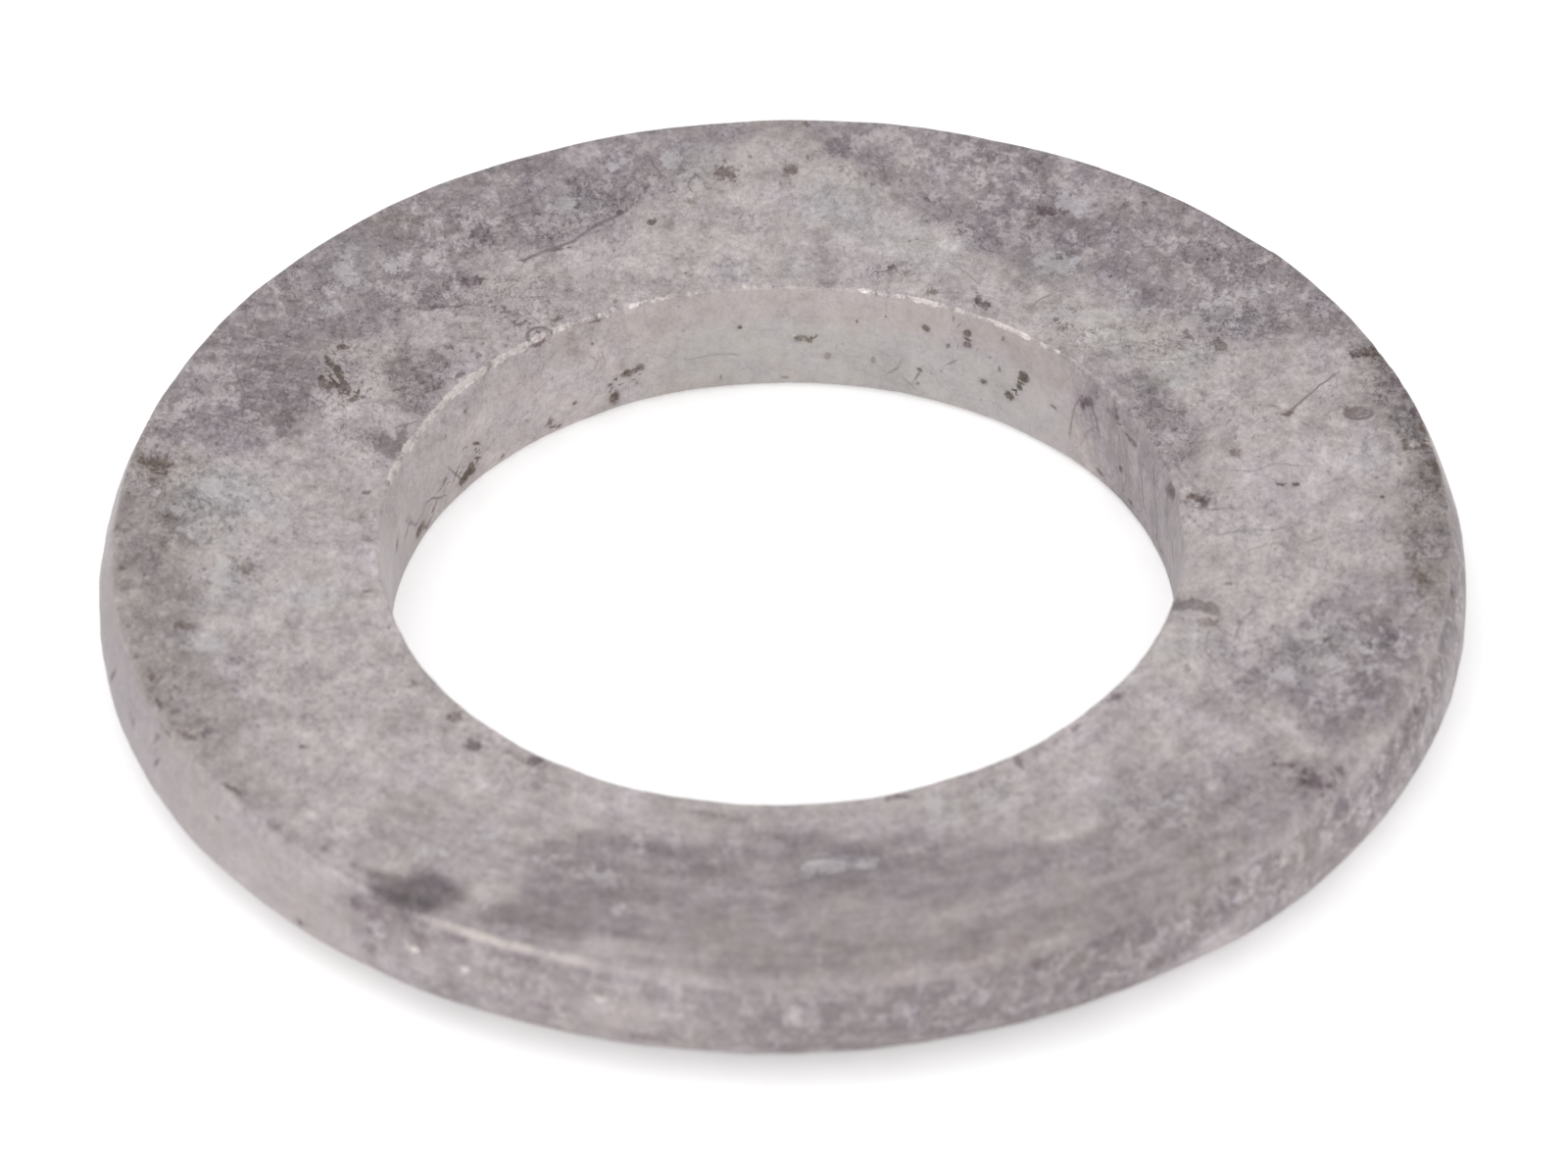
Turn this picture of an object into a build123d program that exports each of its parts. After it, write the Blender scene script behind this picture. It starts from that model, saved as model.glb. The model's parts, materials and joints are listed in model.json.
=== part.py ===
from build123d import *
import os

# Plain flat washer for an M24 bolt: one ring, punched from 4 mm steel strip in a
# compound die and hot-dip galvanised. The die draws the strip down on one side, so the
# lower corners are rolled over; halfway up, the metal stops being sheared and starts to
# tear, so above that height the outer wall leans in and the bore opens out.
#
# Frame: millimetres, +Z up. Origin on the axis of the bore, in the plane of the lower
# face. The ring is the same all the way round.

# ---- ring ----
outer_diameter = 44.0      # over the sheared band, the widest place
bore_diameter = 25.3       # over the sheared band, the narrowest place
thickness = 4.0            # face to face, with the zinc

# ---- outer wall, from the lower face up ----
outer_roll_width = 2.6     # how far in from the wall the lower corner starts to roll
outer_roll_height = 1.4    # where the rolled corner meets the sheared band
outer_band_top = 2.35      # where the sheared band ends and the torn zone starts
outer_top_inset = 0.45     # how far the torn zone has leaned in at the upper edge
outer_edge_break = 0.14    # softening that the zinc leaves on the upper edge

# ---- bore wall, from the lower face up ----
bore_roll = 0.35           # rolled lower corner of the bore
bore_band_top = 2.7        # where the sheared band ends and the torn zone starts
bore_top_flare = 0.28      # how far the torn zone has opened at the upper rim
bore_edge_break = 0.10     # softening that the zinc leaves on the upper rim

ro = outer_diameter / 2
ri = bore_diameter / 2
ro_top = ro - outer_top_inset
ri_top = ri + bore_top_flare

os.makedirs("parts", exist_ok=True)

# Half section of the ring, drawn in the XZ plane and closed anticlockwise.
with BuildPart() as ring:
    with BuildSketch(Plane.XZ):
        with BuildLine():
            # lower face, from the bore's rolled corner to the outer rolled corner
            Line((ri + bore_roll, 0), (ro - outer_roll_width, 0))
            # outer rolled corner, tangent to the face and to the wall
            Bezier(
                (ro - outer_roll_width, 0),
                (ro - outer_roll_width * 0.45, 0),
                (ro, outer_roll_height * 0.45),
                (ro, outer_roll_height),
            )
            # sheared band
            Line((ro, outer_roll_height), (ro, outer_band_top))
            # torn zone, leaning in
            Line((ro, outer_band_top), (ro_top, thickness - outer_edge_break))
            # upper edge
            ThreePointArc(
                (ro_top, thickness - outer_edge_break),
                (
                    ro_top - outer_edge_break * 0.33,
                    thickness - outer_edge_break * 0.29,
                ),
                (ro_top - outer_edge_break, thickness),
            )
            # upper face
            Line(
                (ro_top - outer_edge_break, thickness),
                (ri_top + bore_edge_break, thickness),
            )
            # upper rim of the bore
            ThreePointArc(
                (ri_top + bore_edge_break, thickness),
                (
                    ri_top + bore_edge_break * 0.31,
                    thickness - bore_edge_break * 0.29,
                ),
                (ri_top, thickness - bore_edge_break),
            )
            # torn zone of the bore
            Line((ri_top, thickness - bore_edge_break), (ri, bore_band_top))
            # sheared band of the bore, the bolt's true clearance
            Line((ri, bore_band_top), (ri, bore_roll))
            # rolled lower corner of the bore
            CenterArc((ri + bore_roll, bore_roll), bore_roll, 180, 90)
        make_face()
    revolve(axis=Axis.Z)

washer = ring.part
washer.label = "washer"

export_step(washer, "parts/washer.step")
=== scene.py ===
# Looks of a hot-dip galvanised flat washer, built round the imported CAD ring.
#
# The ring is one lathed mesh whose section changes slowly round the turn (torn zones, burr,
# dent, worn edges, zinc lumps). Where stains, pits and scratches lie is worked out here, in
# millimetres, as distance fields held on the mesh; the node material breaks their edges up
# and adds the fine grain. All in metres in the frame of the CAD; lists below are in mm.
import bpy
import json
import math
import numpy as np
from mathutils import Matrix, Vector


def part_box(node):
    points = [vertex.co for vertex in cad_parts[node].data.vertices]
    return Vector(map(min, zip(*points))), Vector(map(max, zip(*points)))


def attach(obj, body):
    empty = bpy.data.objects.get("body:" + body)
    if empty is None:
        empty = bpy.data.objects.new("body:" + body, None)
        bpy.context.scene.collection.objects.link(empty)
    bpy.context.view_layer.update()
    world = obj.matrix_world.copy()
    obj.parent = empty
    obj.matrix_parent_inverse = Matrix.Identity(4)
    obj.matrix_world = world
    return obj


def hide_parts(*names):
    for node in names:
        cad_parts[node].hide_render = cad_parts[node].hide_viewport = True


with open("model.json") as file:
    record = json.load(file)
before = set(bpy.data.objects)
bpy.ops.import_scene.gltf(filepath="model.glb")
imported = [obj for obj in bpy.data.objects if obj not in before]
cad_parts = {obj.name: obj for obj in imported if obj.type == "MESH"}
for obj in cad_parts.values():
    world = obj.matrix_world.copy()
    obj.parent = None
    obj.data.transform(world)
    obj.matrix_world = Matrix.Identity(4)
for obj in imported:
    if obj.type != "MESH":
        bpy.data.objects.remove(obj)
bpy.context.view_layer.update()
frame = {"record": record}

# ------------------------------------------------------------------ sizes, from the CAD
_lo, _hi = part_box("washer")
RO = (_hi.x - _lo.x) / 2 * 1000          # widest radius
T = (_hi.z - _lo.z) * 1000               # thickness
_mount = next(m for m in frame["record"]["mounts"] if m["name"] == "bore")
RI = _mount["dims"]["r_mm"]              # sheared band of the bore

NT = 900                                 # divisions round the turn
rad = np.radians


# ------------------------------------------------------------------ noise, seeded by hash
def _hash(ix, iy, iz, seed):
    m = np.uint64(0xFFFFFFFF)
    h = (
        ix.astype(np.uint64) * np.uint64(374761393)
        + iy.astype(np.uint64) * np.uint64(668265263)
        + iz.astype(np.uint64) * np.uint64(1274126177)
        + np.uint64(seed * 144665 + 99)
    ) & m
    h = ((h ^ (h >> np.uint64(13))) * np.uint64(1274126177)) & m
    h = ((h ^ (h >> np.uint64(15))) * np.uint64(2246822519)) & m
    return h ^ (h >> np.uint64(16))


_G = np.array(
    [(1, 1, 0), (-1, 1, 0), (1, -1, 0), (-1, -1, 0), (1, 0, 1), (-1, 0, 1), (1, 0, -1), (-1, 0, -1),
     (0, 1, 1), (0, -1, 1), (0, 1, -1), (0, -1, -1), (1, 1, 0), (-1, 1, 0), (0, -1, 1), (0, -1, -1)],
    float,
)


def noise3(p, seed=0):
    """Gradient noise of an (..., 3) array, about -1 to 1."""
    p = p + 1000.0
    i = np.floor(p)
    f = p - i
    i = i.astype(np.int64)
    w = f * f * f * (f * (f * 6 - 15) + 10)
    out = 0.0
    for dx in (0, 1):
        for dy in (0, 1):
            for dz in (0, 1):
                g = _G[(_hash(i[..., 0] + dx, i[..., 1] + dy, i[..., 2] + dz, seed) & np.uint64(15)).astype(int)]
                d = g[..., 0] * (f[..., 0] - dx) + g[..., 1] * (f[..., 1] - dy) + g[..., 2] * (f[..., 2] - dz)
                k = (w[..., 0] if dx else 1 - w[..., 0]) * (w[..., 1] if dy else 1 - w[..., 1]) * (w[..., 2] if dz else 1 - w[..., 2])
                out = out + d * k
    return out * 1.4


def fbm(p, size, octaves=3, seed=0, gain=0.5):
    """Layered noise whose largest lumps are about size mm."""
    out, a, q = 0.0, 1.0, p / size
    for o in range(octaves):
        out = out + a * noise3(q, seed + 17 * o)
        a *= gain
        q = q * 2.03 + 3.7
    return out


def step(a, b, x):
    t = np.clip((x - a) / (b - a), 0, 1)
    return t * t * (3 - 2 * t)


def lobe(deg, centre, half):
    """1 at an angle round the turn, falling smoothly to 0 at half degrees either side."""
    d = np.abs((deg - centre + 180) % 360 - 180) / half
    return np.where(d < 1, (1 - d * d) ** 2, 0.0)


def band(deg, a, b, soft=6.0):
    """1 between two angles, with soft ends; a to b anticlockwise, b may pass 360."""
    mid, half = (a + b) / 2, (b - a) / 2
    d = np.abs((deg - mid + 180) % 360 - 180)
    return 1 - step(half - soft / 2, half + soft / 2, d)


# ------------------------------------------------------------------ section, ring by ring
th = np.arange(NT) * (2 * math.pi / NT)
deg = np.degrees(th)
ring3 = np.stack([np.cos(th), np.sin(th), np.zeros(NT)], 1)   # a closed path for noise round the turn


def round_noise(size, octaves=3, seed=0, radius=13.0, gain=0.5):
    return fbm(ring3 * radius, size, octaves, seed, gain)


# bore
bore_roll = 0.35 + 0.05 * round_noise(5, 2, 3)
band_top = 2.70 + 0.16 * round_noise(3.2, 4, 5) + 0.10 * lobe(deg, 130, 60)
flare = 0.28 + 0.13 * lobe(deg, 142, 48) + 0.03 * round_noise(2.2, 4, 7)
rim_round = 0.10 + 0.05 * band(deg, 60, 115, 30) + 0.04 * round_noise(4, 2, 9) + 0.08 * band(deg, 170, 400, 40)
rim_round = np.clip(rim_round, 0.06, 0.3)
burr_amount = (
    1.00 * band(deg, 124, 165, 10)
    + 0.55 * band(deg, 98, 124, 8)
    + 0.75 * band(deg, 42, 78, 10)
    + 0.22
)
burr_cut = step(-0.55, 0.15, round_noise(1.1, 4, 21) + 1.1 * (burr_amount - 0.55))
burr = np.clip(burr_amount, 0, 1.1) * burr_cut * (0.82 + 0.42 * round_noise(0.5, 3, 23))
burr = np.clip(burr, 0, 1.3)

# outer wall
soft_edge = np.clip(band(deg, 262, 352, 30) * 1.0 + 0.30 * band(deg, 352, 400, 20) + 0.25 * band(deg, 100, 190, 30), 0, 1)
edge_round = 0.13 + 0.46 * soft_edge + 0.03 * round_noise(4, 3, 31, 21.5)
edge_round = np.clip(edge_round, 0.1, 0.7)
inset = 0.45 + 0.035 * round_noise(6, 3, 33, 21.5) - 0.02 * soft_edge - 0.09 * lobe(deg, 123, 13)
full = step(302, 316, deg) * step(358, 344, deg)              # the roll is smaller here
large = band(deg, 225, 335, 50) * (1 - full)
roll_w = 2.95 + 0.18 * round_noise(12, 2, 35, 21.5) + 0.35 * large - 0.30 * full
roll_h = 1.52 + 0.06 * round_noise(9, 2, 37, 21.5) + 0.18 * large - 0.16 * full
wall_top = 2.35 + 0.14 * round_noise(4, 3, 39, 21.5)

rows = []      # (r, z, kind, u) per ring; r and z are arrays round the turn


def ring(r, z, kind, u=0.0):
    rows.append((np.broadcast_to(r, (NT,)).astype(float), np.broadcast_to(z, (NT,)).astype(float), kind, u))


# rolled lower corner of the bore, from the lower face up
for a in np.radians(np.linspace(0, 90, 5)):
    ring(RI + bore_roll - bore_roll * math.sin(a), bore_roll - bore_roll * math.cos(a), "bore", 0)
# sheared band
for u in np.linspace(0, 1, 19)[1:]:
    ring(RI, bore_roll + (band_top - bore_roll) * u, "bore", u)
# torn zone of the bore
z_rim = T - rim_round
for u in np.linspace(0, 1, 11)[1:]:
    ring(RI + flare * u ** 1.25, band_top + (z_rim - band_top) * u, "torn", u)
# rim
for a in np.radians(np.linspace(0, 90, 6)[1:]):
    ring(RI + flare + rim_round * (1 - math.cos(a)), z_rim + rim_round * math.sin(a), "rim", a)
# upper face: close rings next to both edges, wider ones between
r_in = RI + flare + rim_round
r_out = RO - inset - edge_round
knots = np.concatenate([[0.0], np.cumsum(np.concatenate([
    np.linspace(0.05, 0.16, 7), np.full(26, 0.23), np.linspace(0.2, 0.07, 7)]))])
knots /= knots[-1]
for u in knots[1:-1]:
    ring(r_in + (r_out - r_in) * u, T, "top", u)
# outer upper edge
for a in np.radians(np.linspace(0, 84, 8)):
    ring(r_out + edge_round * math.sin(a), T - edge_round * (1 - math.cos(a)), "edge", a)
# torn zone of the outer wall
r_e, z_e = RO - inset, T - edge_round * 0.93
for u in np.linspace(0, 1, 8)[1:]:
    ring(r_e + (RO - r_e) * (1 - (1 - u) ** 1.35), z_e + (wall_top - z_e) * u, "outer", u)
# sheared band
for u in np.linspace(0, 1, 4)[1:]:
    ring(RO, wall_top + (roll_h - wall_top) * u, "outer", 1 + u)
# rolled lower corner
for a in np.radians(np.linspace(0, 90, 9)[1:]):
    ring(RO - roll_w + roll_w * math.cos(a), roll_h - roll_h * math.sin(a), "roll", a)
# lower face
r_b0, r_b1 = RO - roll_w, RI + bore_roll
for u in np.linspace(0, 1, 8)[1:-1]:
    ring(r_b0 + (r_b1 - r_b0) * u, 0.0, "bottom", u)

NR = len(rows)
R = np.stack([q[0] for q in rows])            # (NR, NT)
Z = np.stack([q[1] for q in rows])
kind = np.array([q[2] for q in rows])
TH = np.broadcast_to(th, (NR, NT))
DEG = np.broadcast_to(deg, (NR, NT))
P = np.stack([R * np.cos(TH), R * np.sin(TH), Z], -1)

# outward normals of the plain section
dth = np.roll(P, -1, 1) - np.roll(P, 1, 1)
ds = np.roll(P, -1, 0) - np.roll(P, 1, 0)
NRM = np.cross(dth, ds)
NRM /= np.linalg.norm(NRM, axis=-1, keepdims=True)
mid_row = int(np.argmax(kind == "top")) + 10
if NRM[mid_row, 0, 2] < 0:
    NRM = -NRM

is_bore = (kind == "bore")[:, None]
is_torn = (kind == "torn")[:, None]
is_rim = (kind == "rim")[:, None]
is_top = (kind == "top")[:, None]
is_edge = (kind == "edge")[:, None]
is_outer = ((kind == "outer") | (kind == "roll"))[:, None]
is_bottom = (kind == "bottom")[:, None]
on_top = np.broadcast_to(is_top | is_edge | is_rim, R.shape)
on_bore = np.broadcast_to(is_bore | is_torn, R.shape)
on_outer = np.broadcast_to(is_outer, R.shape)
X, Y = P[..., 0], P[..., 1]

# ------------------------------------------------------------------ where the marks lie
FAR = -9.0


def ellipse(x, y, cx, cy, a, b, rot=0.0):
    """Signed distance, positive inside, to an ellipse of half axes a and b, turned by rot degrees."""
    c, s = math.cos(math.radians(rot)), math.sin(math.radians(rot))
    u, v = ((x - cx) * c + (y - cy) * s) / a, (-(x - cx) * s + (y - cy) * c) / b
    return (1 - np.sqrt(u * u + v * v)) * min(a, b)


def polygon(x, y, pts):
    """Signed distance, positive inside, to a closed outline."""
    q = np.array(pts, float)
    n = len(q)
    d = np.full(x.shape, 1e9)
    inside = np.zeros(x.shape, bool)
    for k in range(n):
        ax, ay = q[k]
        bx, by = q[(k + 1) % n]
        ex, ey = bx - ax, by - ay
        t = np.clip(((x - ax) * ex + (y - ay) * ey) / max(ex * ex + ey * ey, 1e-12), 0, 1)
        d = np.minimum(d, np.hypot(x - ax - t * ex, y - ay - t * ey))
        cross = (ay > y) != (by > y)
        with np.errstate(divide="ignore", invalid="ignore"):
            hit = x < ex * (y - ay) / (by - ay if by != ay else 1e-12) + ax
        inside ^= cross & hit
    return np.where(inside, d, -d)


def path_distance(x, y, pts):
    """Distance to an open line of points, and the same with a sign for the side."""
    d = np.full(x.shape, 1e9)
    signed = np.full(x.shape, 1e9)
    for (ax, ay), (bx, by) in zip(pts[:-1], pts[1:]):
        ex, ey = bx - ax, by - ay
        t = np.clip(((x - ax) * ex + (y - ay) * ey) / max(ex * ex + ey * ey, 1e-12), 0, 1)
        q = np.hypot(x - ax - t * ex, y - ay - t * ey)
        side = np.where(ex * (y - ay) - ey * (x - ax) < 0, -1.0, 1.0)
        signed = np.where(q < d, q * side, signed)
        d = np.minimum(d, q)
    return d, signed


def blob(x, y, cx, cy, a, b, rot, k):
    """A soft spot of strength k."""
    c, s = math.cos(math.radians(rot)), math.sin(math.radians(rot))
    u, v = ((x - cx) * c + (y - cy) * s) / a, (-(x - cx) * s + (y - cy) * c) / b
    return k * np.exp(-(u * u + v * v))


# Dark mauve patches of the upper face.
DARK_TOP = [
    [(1.2, 21.9), (1.6, 20.6), (2.1, 19.4), (3.2, 18.3), (4.3, 16.9), (5.1, 16.0), (5.9, 15.5), (6.6, 14.6),
     (7.2, 13.9), (8.0, 13.2), (9.0, 12.7), (10.1, 12.2), (11.4, 11.6), (12.6, 10.8), (13.6, 10.0), (15.2, 9.6),
     (16.4, 9.9), (17.8, 9.7), (19.4, 10.0), (20.5, 12.0), (17.0, 15.0), (14.0, 18.0), (9.0, 21.5)],
    [(-1.2, 22.2), (-0.8, 20.4), (-2.6, 19.6), (-3.3, 17.9), (-4.5, 17.1), (-5.9, 16.1), (-7.0, 15.1), (-8.4, 14.5),
     (-9.6, 13.7), (-10.2, 12.6), (-11.8, 12.0), (-12.2, 10.9), (-13.4, 10.5), (-14.5, 10.3), (-14.9, 9.2),
     (-14.7, 7.6), (-15.0, 6.2), (-16.0, 5.2), (-17.6, 4.8), (-19.2, 5.6), (-20.5, 6.0), (-21.5, 8.0),
     (-19.0, 12.5), (-15.5, 16.5), (-9.0, 20.5)],
    [(-13.0, 8.8), (-12.4, 9.9), (-11.3, 10.2), (-10.4, 9.5), (-10.9, 8.4), (-11.5, 7.1), (-12.2, 6.9), (-12.6, 7.8)],
    [(18.3, -1.8), (17.2, -3.4), (16.6, -4.5), (15.7, -5.5), (15.1, -6.6), (14.3, -7.7), (13.6, -8.5), (14.7, -8.8),
     (16.2, -8.5), (16.6, -9.7), (17.6, -10.5), (18.8, -9.8), (19.8, -8.0), (20.5, -5.6), (20.6, -3.4), (19.6, -1.9)],
    [(-8.4, -14.9), (-6.4, -14.5), (-4.4, -14.4), (-2.6, -15.0), (-1.6, -14.0), (0.6, -14.2), (2.4, -14.9),
     (4.8, -14.6), (6.6, -15.2), (9.4, -15.2), (10.6, -16.0), (8.6, -17.2), (5.0, -17.2), (2.6, -17.6), (-1.0, -18.0),
     (-3.6, -19.4), (-6.6, -19.9), (-9.0, -19.2), (-10.6, -18.4), (-9.8, -17.6), (-8.4, -17.0), (-8.9, -16.0)],
    [(10.6, 8.7), (11.6, 8.3), (12.5, 7.5), (12.8, 6.6), (13.2, 6.0), (13.5, 5.0), (13.3, 4.2), (13.1, 3.0),
     (12.6, 2.2), (12.0, 4.4), (11.0, 6.6)],
    [(14.0, -12.6), (15.4, -10.9), (16.6, -11.2), (17.8, -11.0), (18.3, -12.0), (16.8, -14.0), (15.0, -15.4),
     (13.6, -16.6), (12.0, -16.6), (12.6, -15.0), (13.0, -13.8)],
]
# How each of them looks: tone, hue, softness of its outline in mm, cover.
DARK_LOOK = [
    (147, 1.0, lambda x, y: 0.16 + 0.55 * step(7, 14, x), 0.98),
    (146, 0.9, lambda x, y: 0.28 + 0.35 * step(-10, -4, x), 0.95),
    (140, 0.5, 0.35, 0.9),
    (149, 0.9, lambda x, y: 0.30 + 0.4 * step(-7, -9, y), 0.95),
    (141, 0.6, 0.60, 0.9),
    (150, 0.7, 0.45, 0.8),
    (150, 0.3, 0.80, 0.8),
]
# Small, very dark marks of the upper face.
MARK_TOP = [
    [(-13.4, 6.1), (-12.9, 5.9), (-12.4, 5.6), (-12.1, 6.2), (-12.0, 5.4), (-12.4, 4.3), (-12.8, 4.9), (-13.2, 5.5)],
    [(14.1, 16.3), (14.7, 15.5), (15.3, 14.9), (16.0, 14.3), (16.3, 14.6), (15.0, 16.0)],
    [(12.5, -3.2), (13.3, -3.2), (14.0, -3.5), (14.0, -4.0), (13.2, -3.8), (12.4, -3.8)],
    [(-13.3, -16.4), (-12.6, -16.1), (-11.6, -16.4), (-10.8, -16.6), (-10.6, -17.2), (-10.8, -18.0),
     (-11.5, -18.2), (-12.4, -17.9), (-13.2, -17.3)],
]
# Dark spots: x, y, half axes, turn, strength.
SPOT_TOP = [
    (18.62, 5.92, 0.44, 0.34, 0, 0.62),
    (16.4, 5.95, 0.28, 0.16, 10, 0.9), (14.7, 4.05, 0.16, 0.16, 0, 0.55), (13.35, 1.85, 0.32, 0.17, -20, 1.0),
    (13.6, 1.5, 0.14, 0.2, 0, 0.9), (16.1, 2.42, 0.13, 0.07, 0, 0.8), (16.65, 2.4, 0.07, 0.07, 0, 0.8),
    (19.35, 1.72, 0.07, 0.07, 0, 0.9), (18.65, 0.5, 0.10, 0.09, 20, 0.9), (17.75, 3.2, 0.05, 0.05, 0, 0.7),
    (18.85, 9.05, 0.36, 0.22, 10, 1.0), (19.35, 9.25, 0.16, 0.26, 30, 1.1), (19.65, 8.5, 0.14, 0.2, 30, 1.1),
    (20.05, 7.4, 0.24, 0.34, 10, 0.8), (20.5, 6.0, 0.16, 0.24, 10, 1.0), (20.75, 5.2, 0.12, 0.3, 10, 0.9),
    (20.75, 4.2, 0.42, 0.13, 0, 0.9), (20.2, 4.3, 0.12, 0.3, 0, 0.7), (21.1, 3.2, 0.16, 0.4, 10, 0.7),
    (12.0, 16.85, 0.10, 0.14, 30, 1.0), (14.3, 9.5, 0.2, 0.3, 20, 0.55), (13.3, 10.0, 0.18, 0.18, 0, 0.5),
    (3.7, 13.75, 0.26, 0.10, 45, 0.9), (5.15, 12.5, 0.25, 0.14, 0, 0.6), (6.55, 12.1, 0.14, 0.4, 15, 0.8),
    (6.75, 11.75, 0.14, 0.18, 0, 0.8), (9.3, 10.6, 0.14, 0.24, -20, 0.7), (9.0, 11.0, 0.12, 0.12, 0, 0.5),
    (10.8, 13.1, 0.09, 0.09, 0, 1.0), (8.7, 16.55, 0.65, 0.16, -8, 0.9), (5.2, 17.3, 0.3, 0.22, 0, 0.4),
    (1.1, 21.2, 0.16, 0.12, 0, 0.8), (0.55, 18.9, 0.2, 0.3, 0, 0.6), (2.8, 18.6, 0.3, 0.18, -20, 0.6),
    (-1.5, 18.9, 0.36, 0.42, 0, 0.75), (-4.0, 16.4, 0.22, 0.13, 30, 0.8), (-4.95, 16.95, 0.3, 0.12, 35, 0.7),
    (-2.75, 17.4, 0.2, 0.2, 0, 0.5), (-6.7, 18.5, 0.25, 0.2, 0, 0.8), (-6.45, 17.9, 0.10, 0.4, 0, 0.4),
    (-6.45, 17.1, 0.09, 0.1, 0, 0.9), (-5.4, 17.9, 0.3, 0.2, 0, 0.4), (-11.9, 16.9, 0.45, 0.3, 0, 0.5),
    (-7.0, 15.05, 0.3, 0.1, 10, 0.8), (-9.9, 13.5, 0.35, 0.22, 10, 0.7), (-11.3, 12.2, 0.9, 0.12, 5, 0.6),
    (-14.05, 14.7, 0.2, 0.08, 10, 0.8), (-15.7, 13.4, 0.2, 0.3, 0, 0.5), (-8.8, 11.9, 0.15, 0.15, 0, 0.6),
    (-7.15, 11.4, 0.3, 0.12, 30, 0.8), (-7.75, 10.75, 0.08, 0.35, 20, 0.8), (-8.3, 11.3, 0.25, 0.1, 30, 0.6),
    (-9.7, 9.8, 0.2, 0.15, 20, 0.6), (-10.65, 10.2, 0.15, 0.12, 0, 0.8), (-11.2, 10.1, 0.12, 0.12, 0, 0.7),
    (-10.35, 8.7, 0.28, 0.15, 45, 0.8), (-14.05, 10.25, 0.22, 0.16, 0, 0.9), (-14.55, 9.6, 0.12, 0.4, 20, 0.9),
    (-14.2, 8.9, 0.12, 0.3, 10, 0.9), (-14.1, 8.25, 0.26, 0.2, 0, 0.9), (-14.75, 8.4, 0.12, 0.3, 0, 0.8),
    (-13.85, 7.6, 0.26, 0.16, 0, 0.8), (-14.3, 7.1, 0.24, 0.10, 10, 0.8), (-13.45, 7.7, 0.12, 0.1, 0, 0.8),
    (-15.8, 7.0, 0.25, 0.4, 0, 0.4), (-20.05, 4.6, 0.6, 0.4, 10, 0.9), (-20.3, 3.75, 0.4, 0.12, 0, 0.7),
    (-17.15, 2.6, 0.07, 0.07, 0, 0.9), (-15.1, 1.65, 0.13, 0.13, 0, 0.7), (-13.3, 2.9, 0.14, 0.1, 0, 0.6),
    (-13.3, 0.5, 0.22, 0.16, 0, 0.6), (-21.3, 1.3, 0.3, 0.12, -30, 0.6), (-21.2, -0.7, 0.14, 0.1, 0, 0.6),
    (-21.0, -3.5, 0.15, 0.18, 0, 0.7), (-19.2, -3.6, 0.3, 0.2, 0, 0.5), (-17.2, -0.7, 0.35, 0.25, 0, 0.45),
    (-13.4, -2.0, 0.15, 0.15, 0, 0.5), (-20.25, -6.1, 0.12, 0.18, 0, 1.0), (-20.0, -7.5, 0.09, 0.25, 10, 0.6),
    (-15.4, -9.75, 0.17, 0.09, 0, 0.9), (-18.4, -8.8, 0.22, 0.2, 0, 0.5), (-17.6, -5.4, 0.25, 0.18, -20, 0.5),
    (-19.2, -9.0, 0.4, 0.14, -40, 0.6), (-17.6, -11.8, 0.4, 0.14, -45, 0.7), (-16.3, -13.5, 0.3, 0.14, -40, 0.5),
    (-14.8, -14.85, 0.13, 0.2, 10, 0.9), (-13.9, -15.6, 0.4, 0.14, -40, 0.5), (-10.5, -8.4, 0.22, 0.25, 0, 0.6),
    (-9.9, -9.8, 0.3, 0.2, 0, 0.6), (-8.0, -10.7, 0.35, 0.2, -30, 0.7), (-11.8, -6.7, 0.18, 0.2, 0, 0.5),
    (-2.6, -13.4, 0.5, 0.15, -10, 0.7), (-1.2, -14.15, 0.22, 0.3, 0, 0.8), (3.6, -12.8, 0.35, 0.12, 15, 0.6),
    (7.4, -11.1, 0.14, 0.35, 20, 0.6), (10.6, -8.05, 0.3, 0.18, 35, 0.8), (9.3, -9.5, 0.4, 0.14, 45, 0.4),
    (2.1, -15.3, 0.35, 0.25, 0, 0.6), (-7.5, -14.8, 0.35, 0.22, 0, 0.5), (-5.8, -17.2, 0.4, 0.25, 0, 0.5),
    (16.9, -12.45, 0.5, 0.38, -20, 1.0), (15.9, -11.5, 0.4, 0.22, 0, 0.8), (17.7, -11.8, 0.18, 0.2, 0, 0.6),
    (14.7, -7.5, 0.3, 0.22, 30, 0.6), (12.9, -6.6, 0.2, 0.3, 0, 0.4), (16.75, -3.4, 0.08, 0.28, -20, 0.6),
    (14.35, -2.5, 0.12, 0.12, 0, 0.5), (13.6, -4.4, 0.3, 0.2, 0, 0.5), (20.5, -2.2, 0.3, 0.3, 0, 0.6),
    (7.0, -18.0, 0.6, 0.13, 20, 0.5), (-8.9, -18.0, 0.7, 0.4, 0, 0.5), (-9.6, -18.4, 0.45, 0.22, 10, 0.6),
]
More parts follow.
